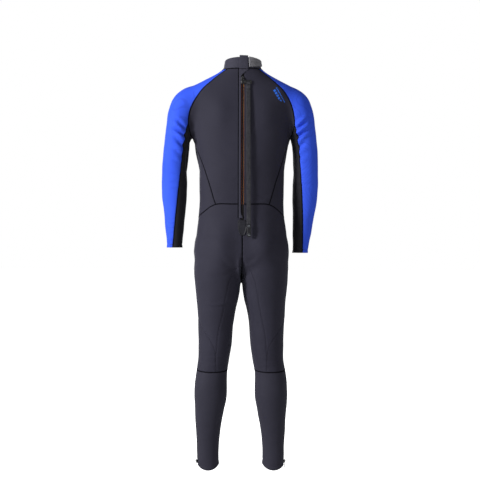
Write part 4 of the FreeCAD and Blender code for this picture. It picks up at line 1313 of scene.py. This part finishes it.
def seams():
    """Every sewn line, in the order that they are made; the last ones aren't mirrored."""
    for name, line in (
        ("raglan", raglan),
        ("sleeve_back", sleeve_back),
        ("sleeve_front", sleeve_front),
        ("waist", waist),
        ("side_back", side_seam_back),
        ("side_front", side_seam_front),
    ):
        sewn(name, line)
    for name, line in (
        ("inner_back", inner_seam_back),
        ("inner_front", inner_seam_front),
        ("outer", outer_seam),
        ("knee_arch", knee_arch),
    ):
        sewn(name, line, flat=False)
    sewn("knee", ring_line(leg_ring, ANKLE_ANGLE, ANKLE_ANGLE + 360, knee_height, 24))
    sewn("calf_inner", down_leg(180), flat=False)
    above_zip = [around(leg_ring, ANKLE_ANGLE, z) for z in (knee_height(14), 310, 270, 236)]
    sewn("above_ankle_zip", seam(above_zip), flat=False)
    sewn("seat", part_of(seat_seam, 0.55, 1), False)
    sewn("belly", belly_seam, False)
    sewn("crotch", crotch, False)
    sewn("neck_left", ring_line(torso_ring, 78, -90, seam_height, 14), False)
    # The placket's outer edge: a wide band of near-black thread that is partly a real seam and partly painted
    # shade, standing in for the shadow line beside the raised placket.
    sewn("placket", seam([behind(15.0, 1404 - 58 * k) for k in range(10)]), False)
    sewn("cuff_hem", ring_line(arm_ring, -180, 180, level(CUFF + 11), 16), flat=False)
    sewn("ankle_hem", ring_line(leg_ring, ANKLE_ANGLE + 9, ANKLE_ANGLE + 351, above_hem, 16), flat=False)
    sewn("neck_right", ring_line(torso_ring, -90, -262, seam_height, 14), False)
    stitching()


back_panel()
side_panel()
chest_panel()
sleeve()
underarm()
thigh_back()
inner_thigh()
thigh_front()
knee_panel()
lower_leg("calf", slit_back, 95, 180)
lower_leg("shin", slit_front, -90, -180)
collar()
seams()

# ---------------------------------------------------------------- frames of the zip and the leash

LEASH_MIDDLE = -19.0  # how far aside of the zip the leash hangs
LEASH_DRIFT = 0.3  # degrees
# Down from the slider and out from the zip, along the free leash.
LEASH_ROUTE = [(37.2, 4.4), (95, 7.4), (190, 8.2), (300, 9.8), (405, 10.4), (470, 11.7), (508, 13.9)]
ZIP_TILT = math.atan(ZIP_LEAN)
SLIDER_AT = (0, (zip_depth(SLIDER_REST) - NECK_MIDDLE) / 1000, (SLIDER_REST - NECK_HEIGHT) / 1000)
ZIP_FRAME = Matrix.Translation(SLIDER_AT) @ Matrix.Rotation(ZIP_TILT, 4, "X")
LEASH_FRAME = (
    ZIP_FRAME
    @ Matrix.Translation((LEASH_MIDDLE / 1000, 0, 0))
    @ Matrix.Rotation(math.radians(LEASH_DRIFT), 4, "Y")
)
LEASH_ACROSS = (LEASH_FRAME.to_3x3() @ Vector((1, 0, 0))).normalized()


def route_line(points):
    """A fine line along the smooth spline of a cord's route."""
    curve = bpy.data.curves.new("route", "CURVE")
    curve.dimensions = "3D"
    spline = curve.splines.new("NURBS")
    spline.points.add(len(points) - 1)
    for target, p in zip(spline.points, points):
        target.co = (*p, 1)
    spline.order_u = 3
    spline.use_endpoint_u = True
    spline.resolution_u = 24
    ob = bpy.data.objects.new("route", curve)
    line = [v.co.copy() for v in bpy.data.meshes.new_from_object(ob).vertices]
    bpy.data.objects.remove(ob)
    return line


# ---------------------------------------------------------------- materials of the fittings


def woven(name, dark, light, across, along):
    """Tape or webbing: warp and weft ribs."""
    n = Nodes(name, 0.6)
    warp = n.noise(1.0, 1.0, 0.5, n.stretched(across, across, 60))
    weft = n.noise(1.0, 1.0, 0.5, n.stretched(80, 80, along))
    tone = n.weighed(warp, 0.5, weft)
    n.colour(n.ramp(tone, [(0.35, dark), (0.68, light)]))
    n.bump(tone, 0.6, 0.0008)
    n.gloss(0.15)
    return n.material


def moulded(name, dark, light, rough, gloss):
    """Moulded rubber with a fine grain."""
    n = Nodes(name, rough)
    grain = n.noise(700.0, 3.0, 0.6)
    cloud = n.noise(18.0, 2.0)
    n.colour(n.ramp(n.weighed(grain, 0.4, cloud), [(0.3, dark), (0.7, light)]))
    n.rough(n.scaled(cloud, 0.16, rough - 0.08))
    n.bump(grain, 0.25, 0.0004)
    n.gloss(gloss)
    return n.material


def coated_metal(name, dark, worn):
    """Coated metal, worn a little bright."""
    n = Nodes(name)
    wear = n.noise(260.0, 4.0, 0.65)
    n.colour(n.ramp(wear, [(0.45, dark), (0.75, worn)]))
    n.rough(n.scaled(wear, 0.2, 0.16))
    n.bsdf.inputs["Metallic"].default_value = 0.85
    return n.material


def bright_thread(name, deep, warm):
    """Coloured sewing thread that shows each strand."""
    n = Nodes(name, 0.5)
    long = n.noise(14.0, 2.0)
    strand = n.noise(1500.0, 1.0)
    n.colour(n.ramp(n.weighed(long, 0.7, strand), [(0.35, deep), (0.62, warm)]))
    n.bump(strand, 0.3, 0.0003)
    return n.material


def fuzzy(name, dark, light, scale, strength, rough=0.9):
    """Hook or loop fastener."""
    n = Nodes(name, rough)
    pile = n.voronoi(scale)
    n.colour(n.ramp(n.noise(scale * 0.6, 2.0), [(0.3, dark), (0.7, light)]))
    n.bump(pile, strength, 0.0015)
    n.sheen(0.3, 0.6)
    return n.material


FLAP = knit("flap_neoprene", (0.0310, 0.0300, 0.0440), (0.0370, 0.0360, 0.0530)).material
TAPE = woven("zip_tape", (0.006, 0.006, 0.008), (0.018, 0.018, 0.022), 900, 1500)
WEBBING = woven("leash_webbing", (0.013, 0.013, 0.016), (0.038, 0.038, 0.045), 620, 900)
COIL = moulded("zip_coil", (0.012, 0.010, 0.010), (0.035, 0.028, 0.026), 0.38, 0.5)
RED_THREAD = bright_thread("zip_thread_red", (0.10, 0.012, 0.006), (0.38, 0.06, 0.015))
ORANGE_THREAD = bright_thread("zip_thread_orange", (0.30, 0.05, 0.010), (0.50, 0.20, 0.04))
METAL = coated_metal("zip_metal", (0.02, 0.02, 0.022), (0.22, 0.22, 0.23))
EYELET = coated_metal("eyelet_metal", (0.30, 0.33, 0.36), (0.55, 0.58, 0.62))
GARAGE = moulded("garage_rubber", (0.010, 0.010, 0.014), (0.018, 0.018, 0.024), 0.45, 0.18)
GRIP = moulded("grip_rubber", (0.006, 0.006, 0.008), (0.014, 0.014, 0.018), 0.4, 0.25)
TAB = moulded("tab_rubber", (0.110, 0.108, 0.122), (0.180, 0.176, 0.196), 0.4, 0.3)
PULL = moulded("puller_block", (0.004, 0.004, 0.005), (0.010, 0.010, 0.011), 0.35, 0.4)
HOOK = fuzzy("hook", (0.010, 0.010, 0.010), (0.022, 0.022, 0.022), 900.0, 0.9, 0.5)
LOOP = fuzzy("loop", (0.008, 0.008, 0.009), (0.020, 0.020, 0.022), 420.0, 0.7)
PRINT = knit("blue_print", (0.020, 0.110, 0.55), (0.030, 0.150, 0.70), 0.0).material


# ---------------------------------------------------------------- small solid shapes (millimetres)

SHARP_FROM = math.radians(50)  # edges that turn more than this are shaded sharp


def rounded(x0, x1, z0, z1, radius, turns=5):
    """A rounded rectangle as a loop of (x, z) points."""
    radius = min(radius, (x1 - x0) / 2 - 1e-3, (z1 - z0) / 2 - 1e-3)
    corners = ((x1, z1, 0), (x0, z1, 90), (x0, z0, 180), (x1, z0, 270))
    loop = []
    for x, z, start in corners:
        cx = x - math.copysign(radius, x - (x0 + x1) / 2)
        cz = z - math.copysign(radius, z - (z0 + z1) / 2)
        for k in range(turns + 1):
            a = math.radians(start + 90 * k / turns)
            loop.append((cx + radius * math.cos(a), cz + radius * math.sin(a)))
    return loop


def at_depth(outline, y):
    """An outline of (x, z) points as points at one depth."""
    return [(x, y, z) for x, z in outline]


class Shape:
    """Points and faces of a piece made of lofted loops."""

    def __init__(self):
        self.points, self.faces = [], []

    def loft(self, loops, ring=False):
        """Skin over loops of points; a ring joins the last loop to the first."""
        base, n = len(self.points), len(loops[0])
        for loop in loops:
            self.points += [tuple(p) for p in loop]
        pairs = list(zip(range(len(loops)), range(1, len(loops))))
        if ring:
            pairs.append((len(loops) - 1, 0))
        for a, b in pairs:
            for k in range(n):
                m = (k + 1) % n
                corners = (a * n + k, a * n + m, b * n + m, b * n + k)
                self.faces.append([base + c for c in corners])
        if not ring:
            self.faces.append([base + k for k in range(n)][::-1])
            self.faces.append([base + (len(loops) - 1) * n + k for k in range(n)])
        return self

    def plate(self, box, y0, y1, radius, bevel=0.3, hole=None, hole_radius=0.8):
        """A rounded plate in X and Z with soft edges, and maybe a rounded hole."""

        def loop(box, inset, y, radius):
            x0, x1, z0, z1 = box
            inside = max(radius - inset, 0.05)
            return at_depth(rounded(x0 + inset, x1 - inset, z0 + inset, z1 - inset, inside), y)

        outer = [(bevel, y0), (0, y0 + bevel), (0, y1 - bevel), (bevel, y1)]
        loops = [loop(box, inset, y, radius) for inset, y in outer]
        if hole:
            inner = [(-bevel, y1), (0, y1 - bevel), (0, y0 + bevel), (-bevel, y0)]
            loops += [loop(hole, inset, y, hole_radius) for inset, y in inner]
        return self.loft(loops, ring=bool(hole))

    def bar(self, half, y, z, radius, turns=14):
        """A round bar along X, as far to each side."""
        angles = [2 * math.pi * k / turns for k in range(turns)]
        loops = []
        for x, share in ((-half, 0.8), (-half + 0.2, 1.0), (half - 0.2, 1.0), (half, 0.8)):
            r = radius * share
            loops.append([(x, y + r * math.cos(a), z + r * math.sin(a)) for a in angles])
        return self.loft(loops)

    def take(self, other):
        """Another shape's points and faces as well."""
        base = len(self.points)
        self.points += other.points
        self.faces += [[base + k for k in face] for face in other.faces]

    def placed(self, place):
        """The points in metres, through a frame whose units are metres."""
        return [place @ Vector((x / 1000, y / 1000, z / 1000)) for x, y, z in self.points]


def fitting(name, shape, place, material, body, slot, replaces=None):
    ob = make(name, shape.placed(place), shape.faces, material, body, slot, replaces)
    ob.data.set_sharp_from_angle(angle=SHARP_FROM)
    return ob


def strip_down(left, right, step):
    """A grid down the body between two lists of (x, height) points of the back."""
    rails = [seam(backs(*side)) for side in (left, right)]
    top, bottom = (seam([rails[0][k], rails[1][k]]) for k in (0, -1))
    return panel_grid(rails, [top], [bottom], step)


def layer(name, grid_and_edge, outer, inner, material, body, slot, rim=0.8, carve=None):
    """A thin sheet over the body's surface, with rounded edges."""
    grid, edge = grid_and_edge
    normal = outward(grid)[0]
    round_off = (outer - inner) * 0.45 * np.exp(-((edge / rim) ** 2))
    lift = outer - round_off
    if carve is not None:
        lift = lift + carve(grid, edge)
    top = grid + normal * lift[..., None]
    below = grid + normal * (inner + round_off * 0.6)[..., None]
    points = row(np.concatenate([top.reshape(-1, 3), below.reshape(-1, 3)]))
    make(name, points, sheet_faces(*grid.shape[:2]), material, body, slot)


# ---------------------------------------------------------------- zips

SLIDER_BODY = (9.4, 15.0)  # width and length
SLIDER_TOP = 2.1
HINGE_OUT = SLIDER_TOP + 1.4
WALL_AT = 2.55  # from the zip's middle to the slider's side walls
ARCH_RADII, ARCH_HALF = (4.2, 2.7), 1.35  # outside and inside, and half its width
TEETH_FROM = 0.12  # from the zip's middle to each row of teeth
TAPE_FROM = 2.4
EDGE_FROM = 3.05
STITCHES_AT = 3.9
STITCHES_LOW = 930.0
TOOTH_SIDES = 8
TOOTH_SLANT = 0.1


def along_zip(height):
    return (height - SLIDER_REST) / math.cos(ZIP_TILT)


def teeth(side, low, high, inner, outer, back, front, pitch):
    """A row of zip teeth: one small rounded loop for every pitch."""
    shape = Shape()
    thick = pitch * 0.36
    middle, half = (front + back) / 2, (front - back) / 2
    for k in range(int((high - low) / pitch)):
        z = low + pitch * (k + (0.5 if side > 0 else 0.0))
        loops = []
        for x, drop in ((inner, 0.25), (inner + 0.4, 0.0), (outer - 0.4, 0.0), (outer, 0.35)):
            tilt = TOOTH_SLANT * (x - inner)
            loop = []
            for a in range(TOOTH_SIDES):
                turn = 2 * math.pi * a / TOOTH_SIDES
                y = middle + half * (1 - drop) * math.cos(turn)
                loop.append((side * x, y, z + tilt + thick * (1 - drop) * math.sin(turn)))
            loops.append(loop)
        shape.loft(loops)
    return shape


def dashes(side, low, high, front, width=1.1, length=3.4, gap=1.7):
    """A row of stitches along a zip."""
    shape = Shape()
    x0, x1 = side * STITCHES_AT - width / 2, side * STITCHES_AT + width / 2
    for k in range(int((high - low) / (length + gap))):
        z = low + k * (length + gap)
        shape.plate((x0, x1, z, z + length), front - 0.5, front, width * 0.45, 0.15)
    return shape


def slider(width, length, lift, wall):
    """Body of a zip slider with a waist, side walls and the arch for its puller."""
    shape = Shape()
    outline = []
    for k in range(32):
        a = 2 * math.pi * k / 32
        x = width / 2 * math.copysign(abs(math.cos(a)) ** 0.7, math.cos(a))
        z = length / 2 * math.copysign(abs(math.sin(a)) ** 0.75, math.sin(a))
        x *= 1 - 0.14 * math.exp(-(((z + length * 0.28) / (length * 0.2)) ** 2))
        outline.append((x, z))
    loops = []
    for y, share in ((0.35, 0.94), (0.6, 1.0), (SLIDER_TOP - 0.5, 1.0), (SLIDER_TOP, 0.86)):
        loops.append([(x * share, y, z * share + lift) for x, z in outline])
    shape.loft(loops)
    for x in (-wall, wall):
        shape.plate((x - 0.4, x + 0.4, lift - length * 0.2, lift + length * 0.2), -2.5, 1.5, 0.3, 0.15)
    turns = [math.pi * k / 14 for k in range(15)]
    outer, inner = (
        [(SLIDER_TOP - 0.2 + radius * math.sin(a) ** 0.7, lift + radius * math.cos(a)) for a in turns]
        for radius in ARCH_RADII
    )
    half = ARCH_HALF
    return shape.loft([[(-half, *o), (half, *o), (half, *i), (-half, *i)] for o, i in zip(outer, inner)])


def level_strip(sides, top, bottom, count, step):
    """A strip down the back between two x values, from one height to another."""
    heights = [top - (top - bottom) * i / count for i in range(count + 1)]
    left, right = sides
    return strip_down([(left, z) for z in heights], [(right, z) for z in heights], step)


def back_zip():
    low, high = along_zip(ZIP_BOTTOM), along_zip(ZIP_TOP + 4)
    for side, name, thread_material in ((1, "left", RED_THREAD), (-1, "right", ORANGE_THREAD)):
        sides = (side * TAPE_FROM, side * (TAPE_FROM + TAPE_WIDTH))
        grid = level_strip(sides, ZIP_TOP + 2, ZIP_BOTTOM, 8, 5)
        top = -FABRIC - 0.25
        layer("back_zip_tape_" + name, grid, top, top - TAPE_THICK, TAPE, "suit", "zip_tape")
        coil = teeth(side, low, high, TEETH_FROM, COIL_WIDTH, -COIL_HIGH, -0.05, 1.7)
        fitting("back_zip_coil_" + name, coil, ZIP_FRAME, COIL, "suit", "zip_coil")
        # The webbing between the teeth and the fabric, and the stitches that show on it.
        x0, x1 = sorted((side * EDGE_FROM, side * ZIP_EDGE))
        edge = Shape().plate((x0, x1, low, high), -2.6, -1.1, 0.5)
        fitting("back_zip_edge_" + name, edge, ZIP_FRAME, TAPE, "suit", "zip_tape")
        stitches = dashes(side, along_zip(STITCHES_LOW), along_zip(SLIDER_REST) - 9, -0.6)
        fitting("back_zip_stitches_" + name, stitches, ZIP_FRAME, thread_material, "suit", "zip_coil")
    stop = Shape().plate((-2.6, 2.6, low - 7, low - 0.2), -2.6, 0.0, 1.2, 0.4)
    fitting("back_zip_bottom_stop", stop, ZIP_FRAME, METAL, "suit", "zip_metal")
    stops = Shape()
    for side in (-1, 1):
        x0, x1 = sorted((side * TEETH_FROM, side * 2.2))
        stops.plate((x0, x1, high + 0.2, high + 4), -2.4, 0.0, 0.6, 0.25)
    fitting("back_zip_top_stops", stops, ZIP_FRAME, METAL, "suit", "zip_metal")
    body = slider(*SLIDER_BODY, 0, WALL_AT)
    fitting("back_zip_slider", body, ZIP_FRAME, METAL, "back_slider", "zip_metal")
    grid = level_strip((-FLAP_IN, FLAP_IN), COLLAR_TOP[0] - 4, 858, 10, 6)
    layer("zip_underflap", grid, -FABRIC - 2.2, -FABRIC - 4.2, BLACK, "suit", "black_neoprene", 2.0)


def hinge_block(box, half_thick, radius, bevel, hole, hole_radius, ears, ear_z, ear_edge, bar_half, out=0.0):
    """A puller: a plate with a hole, two ears and the bar that they turn on."""
    y0, y1 = out - half_thick, out + half_thick
    shape = Shape().plate(box, y0, y1, radius, bevel, hole, hole_radius)
    for x0, x1 in ((-ears[1], -ears[0]), ears):
        shape.plate((x0, x1, *ear_z), y0, y1, *ear_edge)
    return shape.bar(bar_half, out, 0, 0.85)


def puller():
    """The block on the slider that the leash hangs from."""
    half = LEASH_WIDTH / 2 + 0.6
    hole = (LEASH_MIDDLE - half, LEASH_MIDDLE + half, -15.6, -11.0)
    box = (-31.0, 6.4, -19, -6.5)
    block = hinge_block(box, 0.95, 2.4, 0.4, hole, 0.6, (3.9, 5.9), (-8, 0.6), (0.8, 0.3), 5.6, HINGE_OUT)
    fitting("back_zip_puller", block, ZIP_FRAME, PULL, "back_puller", "zip_metal")


# ---------------------------------------------------------------- leash

# Round the strap: across and out, as shares of half its width and half its thickness.
STRAP_FRONT = [(-0.93, -1), (-0.5, -0.9), (0, -1), (0.5, -0.9), (0.93, -1)]
STRAP_SECTION = [(-1, -0.4), *STRAP_FRONT, (1, -0.4)]
STRAP_SECTION += [(-x, -y) for x, y in STRAP_SECTION]
FOLD_LOW, FOLD_HIGH, FOLD_FOOT = -37.0, -11.2, -21.5
FOLD_HALF, FOLD_WALL = 2.9, 1.6
GRIP_HALF, GRIP_THICK, GRIP_LONG = 7.6, 2.6, 45.0


def webbing(line):
    """A flat woven strip along the leash's line, with soft edges and ribs along it."""
    half, thick = LEASH_WIDTH / 2000, LEASH_THICK / 2000
    points = []
    for k, p in enumerate(line):
        along = (line[min(k + 1, len(line) - 1)] - line[max(k - 1, 0)]).normalized()
        out = LEASH_ACROSS.cross(along).normalized()
        for sx, sy in STRAP_SECTION:
            points.append(p + LEASH_ACROSS * (half * sx) + out * (thick * sy))
    return points, tube_faces(len(line), len(STRAP_SECTION))


def leash():
    points = [LEASH_FRAME @ Vector((0, out / 1000, -down / 1000)) for down, out in LEASH_ROUTE]
    line = route_line(points)
    strap = make("leash_strap", *webbing(line), WEBBING, "back_puller", "leash_webbing", ["leash_webbing"])
    grip = leash_grip(points)
    leash_fold()


def leash_fold():
    """The leash's end, folded through the puller and sewn down."""
    inner, outer = HINGE_OUT - FOLD_HALF, HINGE_OUT + FOLD_HALF
    turns = [math.pi * k / 16 for k in range(17)]

    def bend(inset):
        half, top = FOLD_HALF - inset, FOLD_HIGH - inset
        bow = [(HINGE_OUT + half * math.cos(a), top - half + half * math.sin(a)) for a in turns]
        return [(outer - inset, FOLD_FOOT)] + bow + [(inner + inset, FOLD_FOOT)]

    x0, x1 = LEASH_MIDDLE - LEASH_WIDTH / 2, LEASH_MIDDLE + LEASH_WIDTH / 2
    fold = Shape()
    fold.loft([[(x0, *o), (x1, *o), (x1, *h), (x0, *h)] for o, h in zip(bend(0), bend(FOLD_WALL))])
    fold.plate((x0, x1, FOLD_LOW, FOLD_FOOT + 0.3), inner + 1.2, outer - 1.2, 0.6)
    for z in (-23.5, -33.0):
        for k in range(6):
            x = x0 + 1.6 + k * 2.1
            fold.plate((x, x + 1.4, z, z + 0.6), outer - 1.4, outer - 1.0, 0.2, 0.1)
    fitting("leash_loop", fold, ZIP_FRAME, WEBBING, "back_puller", "leash_webbing")


def circle_at(z, radius):
    return rounded(-radius, radius, z - radius, z + radius, radius - 0.01, 8)


def leash_grip(points):
    """The moulded handle, with an eyelet at each end and three ridges."""
    half, thick, long = GRIP_HALF, GRIP_THICK, GRIP_LONG
    along = (points[-1] - points[-2]).normalized()
    place = Matrix((LEASH_ACROSS, LEASH_ACROSS.cross(along), -along)).transposed().to_4x4()
    place.translation = points[-1]
    loops = []
    for y, inset in ((-thick, 0.9), (-thick + 0.5, 0.25), (0, 0), (thick - 0.5, 0.25), (thick, 0.9)):
        loops.append(at_depth(rounded(-half + inset, half - inset, -long + inset, -inset, 3.6, 8), y))
    hole = circle_at(-7.5, 2.3)
    loops += [at_depth(hole, y) for y in (thick, -thick)]
    handle = Shape().loft(loops, ring=True)
    ob = fitting("leash_handle", handle, place, GRIP, "back_puller", "grip_rubber", ["leash_grip"])
    ribs = Shape()
    for z in (-16.5, -24.5, -32.5):
        ribs.plate((-half + 1.6, half - 1.6, z - 1.2, z + 1.2), thick - 0.3, thick + 0.5, 1.1, 0.35)
    fitting("leash_handle_ribs", ribs, place, GRIP, "back_puller", "grip_rubber")
    rivets = Shape()
    for z in (-7.5, -long + 7.0):
        outside_rim, inside_rim = circle_at(z, 3.4), circle_at(z, 2.2)
        low, high = thick - 0.1, thick + 0.35
        sides = ((outside_rim, low), (outside_rim, high), (inside_rim, high), (inside_rim, low))
        rivets.loft([at_depth(rim, y) for rim, y in sides], ring=True)
    fitting("leash_eyelets", rivets, place, EYELET, "back_puller", "zip_metal")
    return ob


# ---------------------------------------------------------------- flap, tab, garage

PLACKET_OUTER = 13.0
PLACKET_TOP = [(-23, 1401), (-13, 1394), (-3, 1386), (4.5, 1378), (PLACKET_EDGE, 1370)]
PLACKET_SIDE = (1362, 1352, 1342, 1325, 1300, 1260, 1200, 1120, 1040, 960, 930, 908)
PLACKET_TAIL = [(4.6, 897), (1.0, 889), (-3.5, 882)]
GARAGE_EDGE = [(16.5, 876), (16.5, 862), (16.0, 848), (13.6, 836), (9.6, 827), (6.5, 822)]
GARAGE_RIDGES = (871, 864.8, 858.6)
MARK_FROM, MARK_TO = (-110.0, 1331.0), (-141.0, 1277.0)  # on the right shoulder blade
# Each row of marks: how far aside, height of the blocks, how many, and where it starts.
MARK_ROWS = [(0.0, 8.5, 6, 0.0), (-11.0, 4.0, 10, -3.0)]


def placket():
    inner = PLACKET_TOP + [(PLACKET_EDGE, z) for z in PLACKET_SIDE] + PLACKET_TAIL
    outer = [(PLACKET_OUTER, z) for _, z in inner]
    grid = strip_down(outer, inner, 2.5)
    layer("zip_placket", grid, 2.8, 0.3, FLAP, "suit", "black_neoprene", 1.0)


def neck_grid(start, end, low, high, step):
    """A grid round the neck; low and high give heights at its start and its end."""

    def edge(heights):
        def height(angle):
            return heights[0] + (heights[1] - heights[0]) * (angle - start) / (end - start)

        return ring_line(torso_ring, start, end, height)

    def side(angle, bottom, top):
        return seam([around(torso_ring, angle, top + (bottom - top) * t) for t in (0, 0.5, 1)])

    rails = [side(start, low[0], high[0]), side(end, low[1], high[1])]
    return panel_grid(rails, [edge(high)], [edge(low)], step)


def tab_ridges(grid, edge):
    """Three raised rings that follow the tab's outline."""
    return 0.7 * np.cos(2 * np.pi * (edge - 2.4) / 4.8) * (edge < 13.2) * (edge > 1.2)


def closure():
    body = "collar_closure"
    grid = neck_grid(78, 109, (1401.8, 1401.8), (1450.5, 1449.5), 2.5)
    layer("collar_flap", grid, 3.0, 0.5, FLAP, body, "stretch_neoprene", 1.2)
    grid = neck_grid(109.8, 168, (1407, 1414), (1446.5, 1436), 0.9)
    layer("collar_tab", grid, 5.0, 1.8, TAB, body, "tab_rubber", 1.4, tab_ridges)
    grid = neck_grid(116, 162, (1411, 1417), (1442, 1434), 3)
    layer("hook_patch", grid, 1.7, 1.0, HOOK, body, "hook", 0.5)
    grid = neck_grid(113, 170, (1408, 1414), (1440, 1432), 3)
    layer("loop_patch", grid, 0.85, 0.25, LOOP, "suit", "loop", 0.5)


def garage_relief(grid, edge):
    """A raised rim, a shallow middle and three ridges near the top."""
    z = grid[..., 2]
    rim = 0.4 * np.exp(-(((edge - 1.6) / 1.1) ** 2))
    ridges = sum(np.exp(-(((z - top) / 1.7) ** 2)) for top in GARAGE_RIDGES)
    hollow = 1.2 * ease((edge - 3.0) / 2.0) * (z < 851)
    return rim + 1.2 * ridges * (np.abs(grid[..., 0]) < 10) - hollow


def garage():
    grid = strip_down(GARAGE_EDGE, [(-x, z) for x, z in GARAGE_EDGE], 1.1)
    layer("zip_garage", grid, 2.4, 0.3, GARAGE, "suit", "garage_rubber", 1.6, garage_relief)


def plain_marks():
    """Two rows of plain blocks on the right shoulder blade."""
    (x0, z0), (x1, z1) = MARK_FROM, MARK_TO
    length = math.hypot(x1 - x0, z1 - z0)
    ux, uz = (x1 - x0) / length, (z1 - z0) / length
    for k, (aside, wide, count, start) in enumerate(MARK_ROWS):
        pitch = (length - 2) / count
        for i in range(count):
            stops = [start + pitch * (i + share) for share in (0, 0.4, 0.8)]
            sides = []
            for across in (aside - wide / 2, aside + wide / 2):
                sides.append([(x0 + ux * t - uz * across, z0 + uz * t + ux * across) for t in stops])
            grid = strip_down(*sides, 2.0)
            layer(f"print_{k}_{i}", grid, 0.35, -0.6, PRINT, "suit", "blue_neoprene", 0.3)


# ---------------------------------------------------------------- ankle zips

ANKLE_SLIDER = (6.6, 11.0, 5.0, 2.1)  # width, length, height above the hem's end, walls
GUSSET_TURN = 24.0  # degrees to each side of the zip
GUSSET_HEIGHTS = (232, 170, 110, 60, 14)


def ankle_frame():
    """Y out of the left leg, Z up the zip from the hem."""
    low, high = (around(leg_ring, ANKLE_ANGLE, z) for z in (ANKLE_LOW, ANKLE_HIGH))
    up = (high - low) / np.linalg.norm(high - low)
    out = outward(((low + high) / 2)[None])[0][0]
    across = np.cross(out, up)
    across /= np.linalg.norm(across)
    out = np.cross(up, across)
    place = Matrix((across, out, up)).transposed().to_4x4()
    place.translation = Vector(row(low))
    return place


def ankle_gusset(name, mirrored):
    """The sheet behind an ankle zip."""
    sides = (ANKLE_ANGLE + GUSSET_TURN, ANKLE_ANGLE, ANKLE_ANGLE - GUSSET_TURN)
    rails = [seam([around(leg_ring, a, z) for z in GUSSET_HEIGHTS]) for a in sides]
    tops, bottoms = (
        [ring_line(leg_ring, a, b, level(height), 3) for a, b in zip(sides, sides[1:])]
        for height in (GUSSET_HEIGHTS[0], GUSSET_HEIGHTS[-1])
    )
    grid, edge = panel_grid(rails, tops, bottoms, 6)
    if mirrored:
        grid, edge = flipped(grid)[:, ::-1], edge[:, ::-1]
    layer(name, (grid, edge), -7.0, -8.6, BLACK, "suit", "black_neoprene", 1.0)


def ankle_zip(side, place, hang):
    length = ANKLE_HIGH - ANKLE_LOW
    tapes, coils = Shape(), Shape()
    for hand in (-1, 1):
        x0, x1 = sorted((hand * 1.8, hand * 8.4))
        tapes.plate((x0, x1, -4, length + 5), -6.1, -5.5, 0.5, 0.2)
        coils.take(teeth(hand, -3, length - 1, 0.1, 1.6, -5.4, -2.2, 1.5))
        x0, x1 = sorted((hand * 2.6, hand * 4.9))
        tapes.plate((x0, x1, -3, length - 1), -5.4, -3.6, 0.5)
    fitting("ankle_zip_tapes" + side, tapes, place, TAPE, "suit", "zip_tape")
    fitting("ankle_zip_coils" + side, coils, place, COIL, "suit", "zip_coil")
    stop = Shape().plate((-2.4, 2.4, length - 0.6, length + 3.4), -5.4, -0.8, 1.0, 0.35)
    fitting("ankle_zip_stop" + side, stop, place, METAL, "suit", "zip_metal")
    body = slider(*ANKLE_SLIDER)
    fitting("ankle_zip_slider" + side, body, place, METAL, "ankle_slider" + side, "zip_metal")
    hole = (-1.5, 1.5, -21, -12)
    box = (-3.4, 3.4, -25, -5)
    pull = hinge_block(box, 0.8, 1.6, 0.3, hole, 0.8, (2.1, 3.4), (-6.5, 0.6), (0.5, 0.2), 3.2)
    hinge = Matrix.Translation((0, HINGE_OUT / 1000, 0.005)) @ Matrix.Rotation(hang, 4, "X")
    fitting("ankle_zip_puller" + side, pull, place @ hinge, METAL, "ankle_puller" + side, "zip_metal")
    ankle_gusset("ankle_gusset" + side, side == "_right")


def ankle_zips():
    left = ankle_frame()
    hang = math.atan2(-left[2][1], left[2][2])  # so that the pullers hang plumb
    ankle_zip("_left", left, hang)
    ankle_zip("_right", Matrix.Diagonal((-1, 1, 1, 1)) @ left, hang)


leash()
back_zip()
puller()
placket()
closure()
garage()
plain_marks()
ankle_zips()
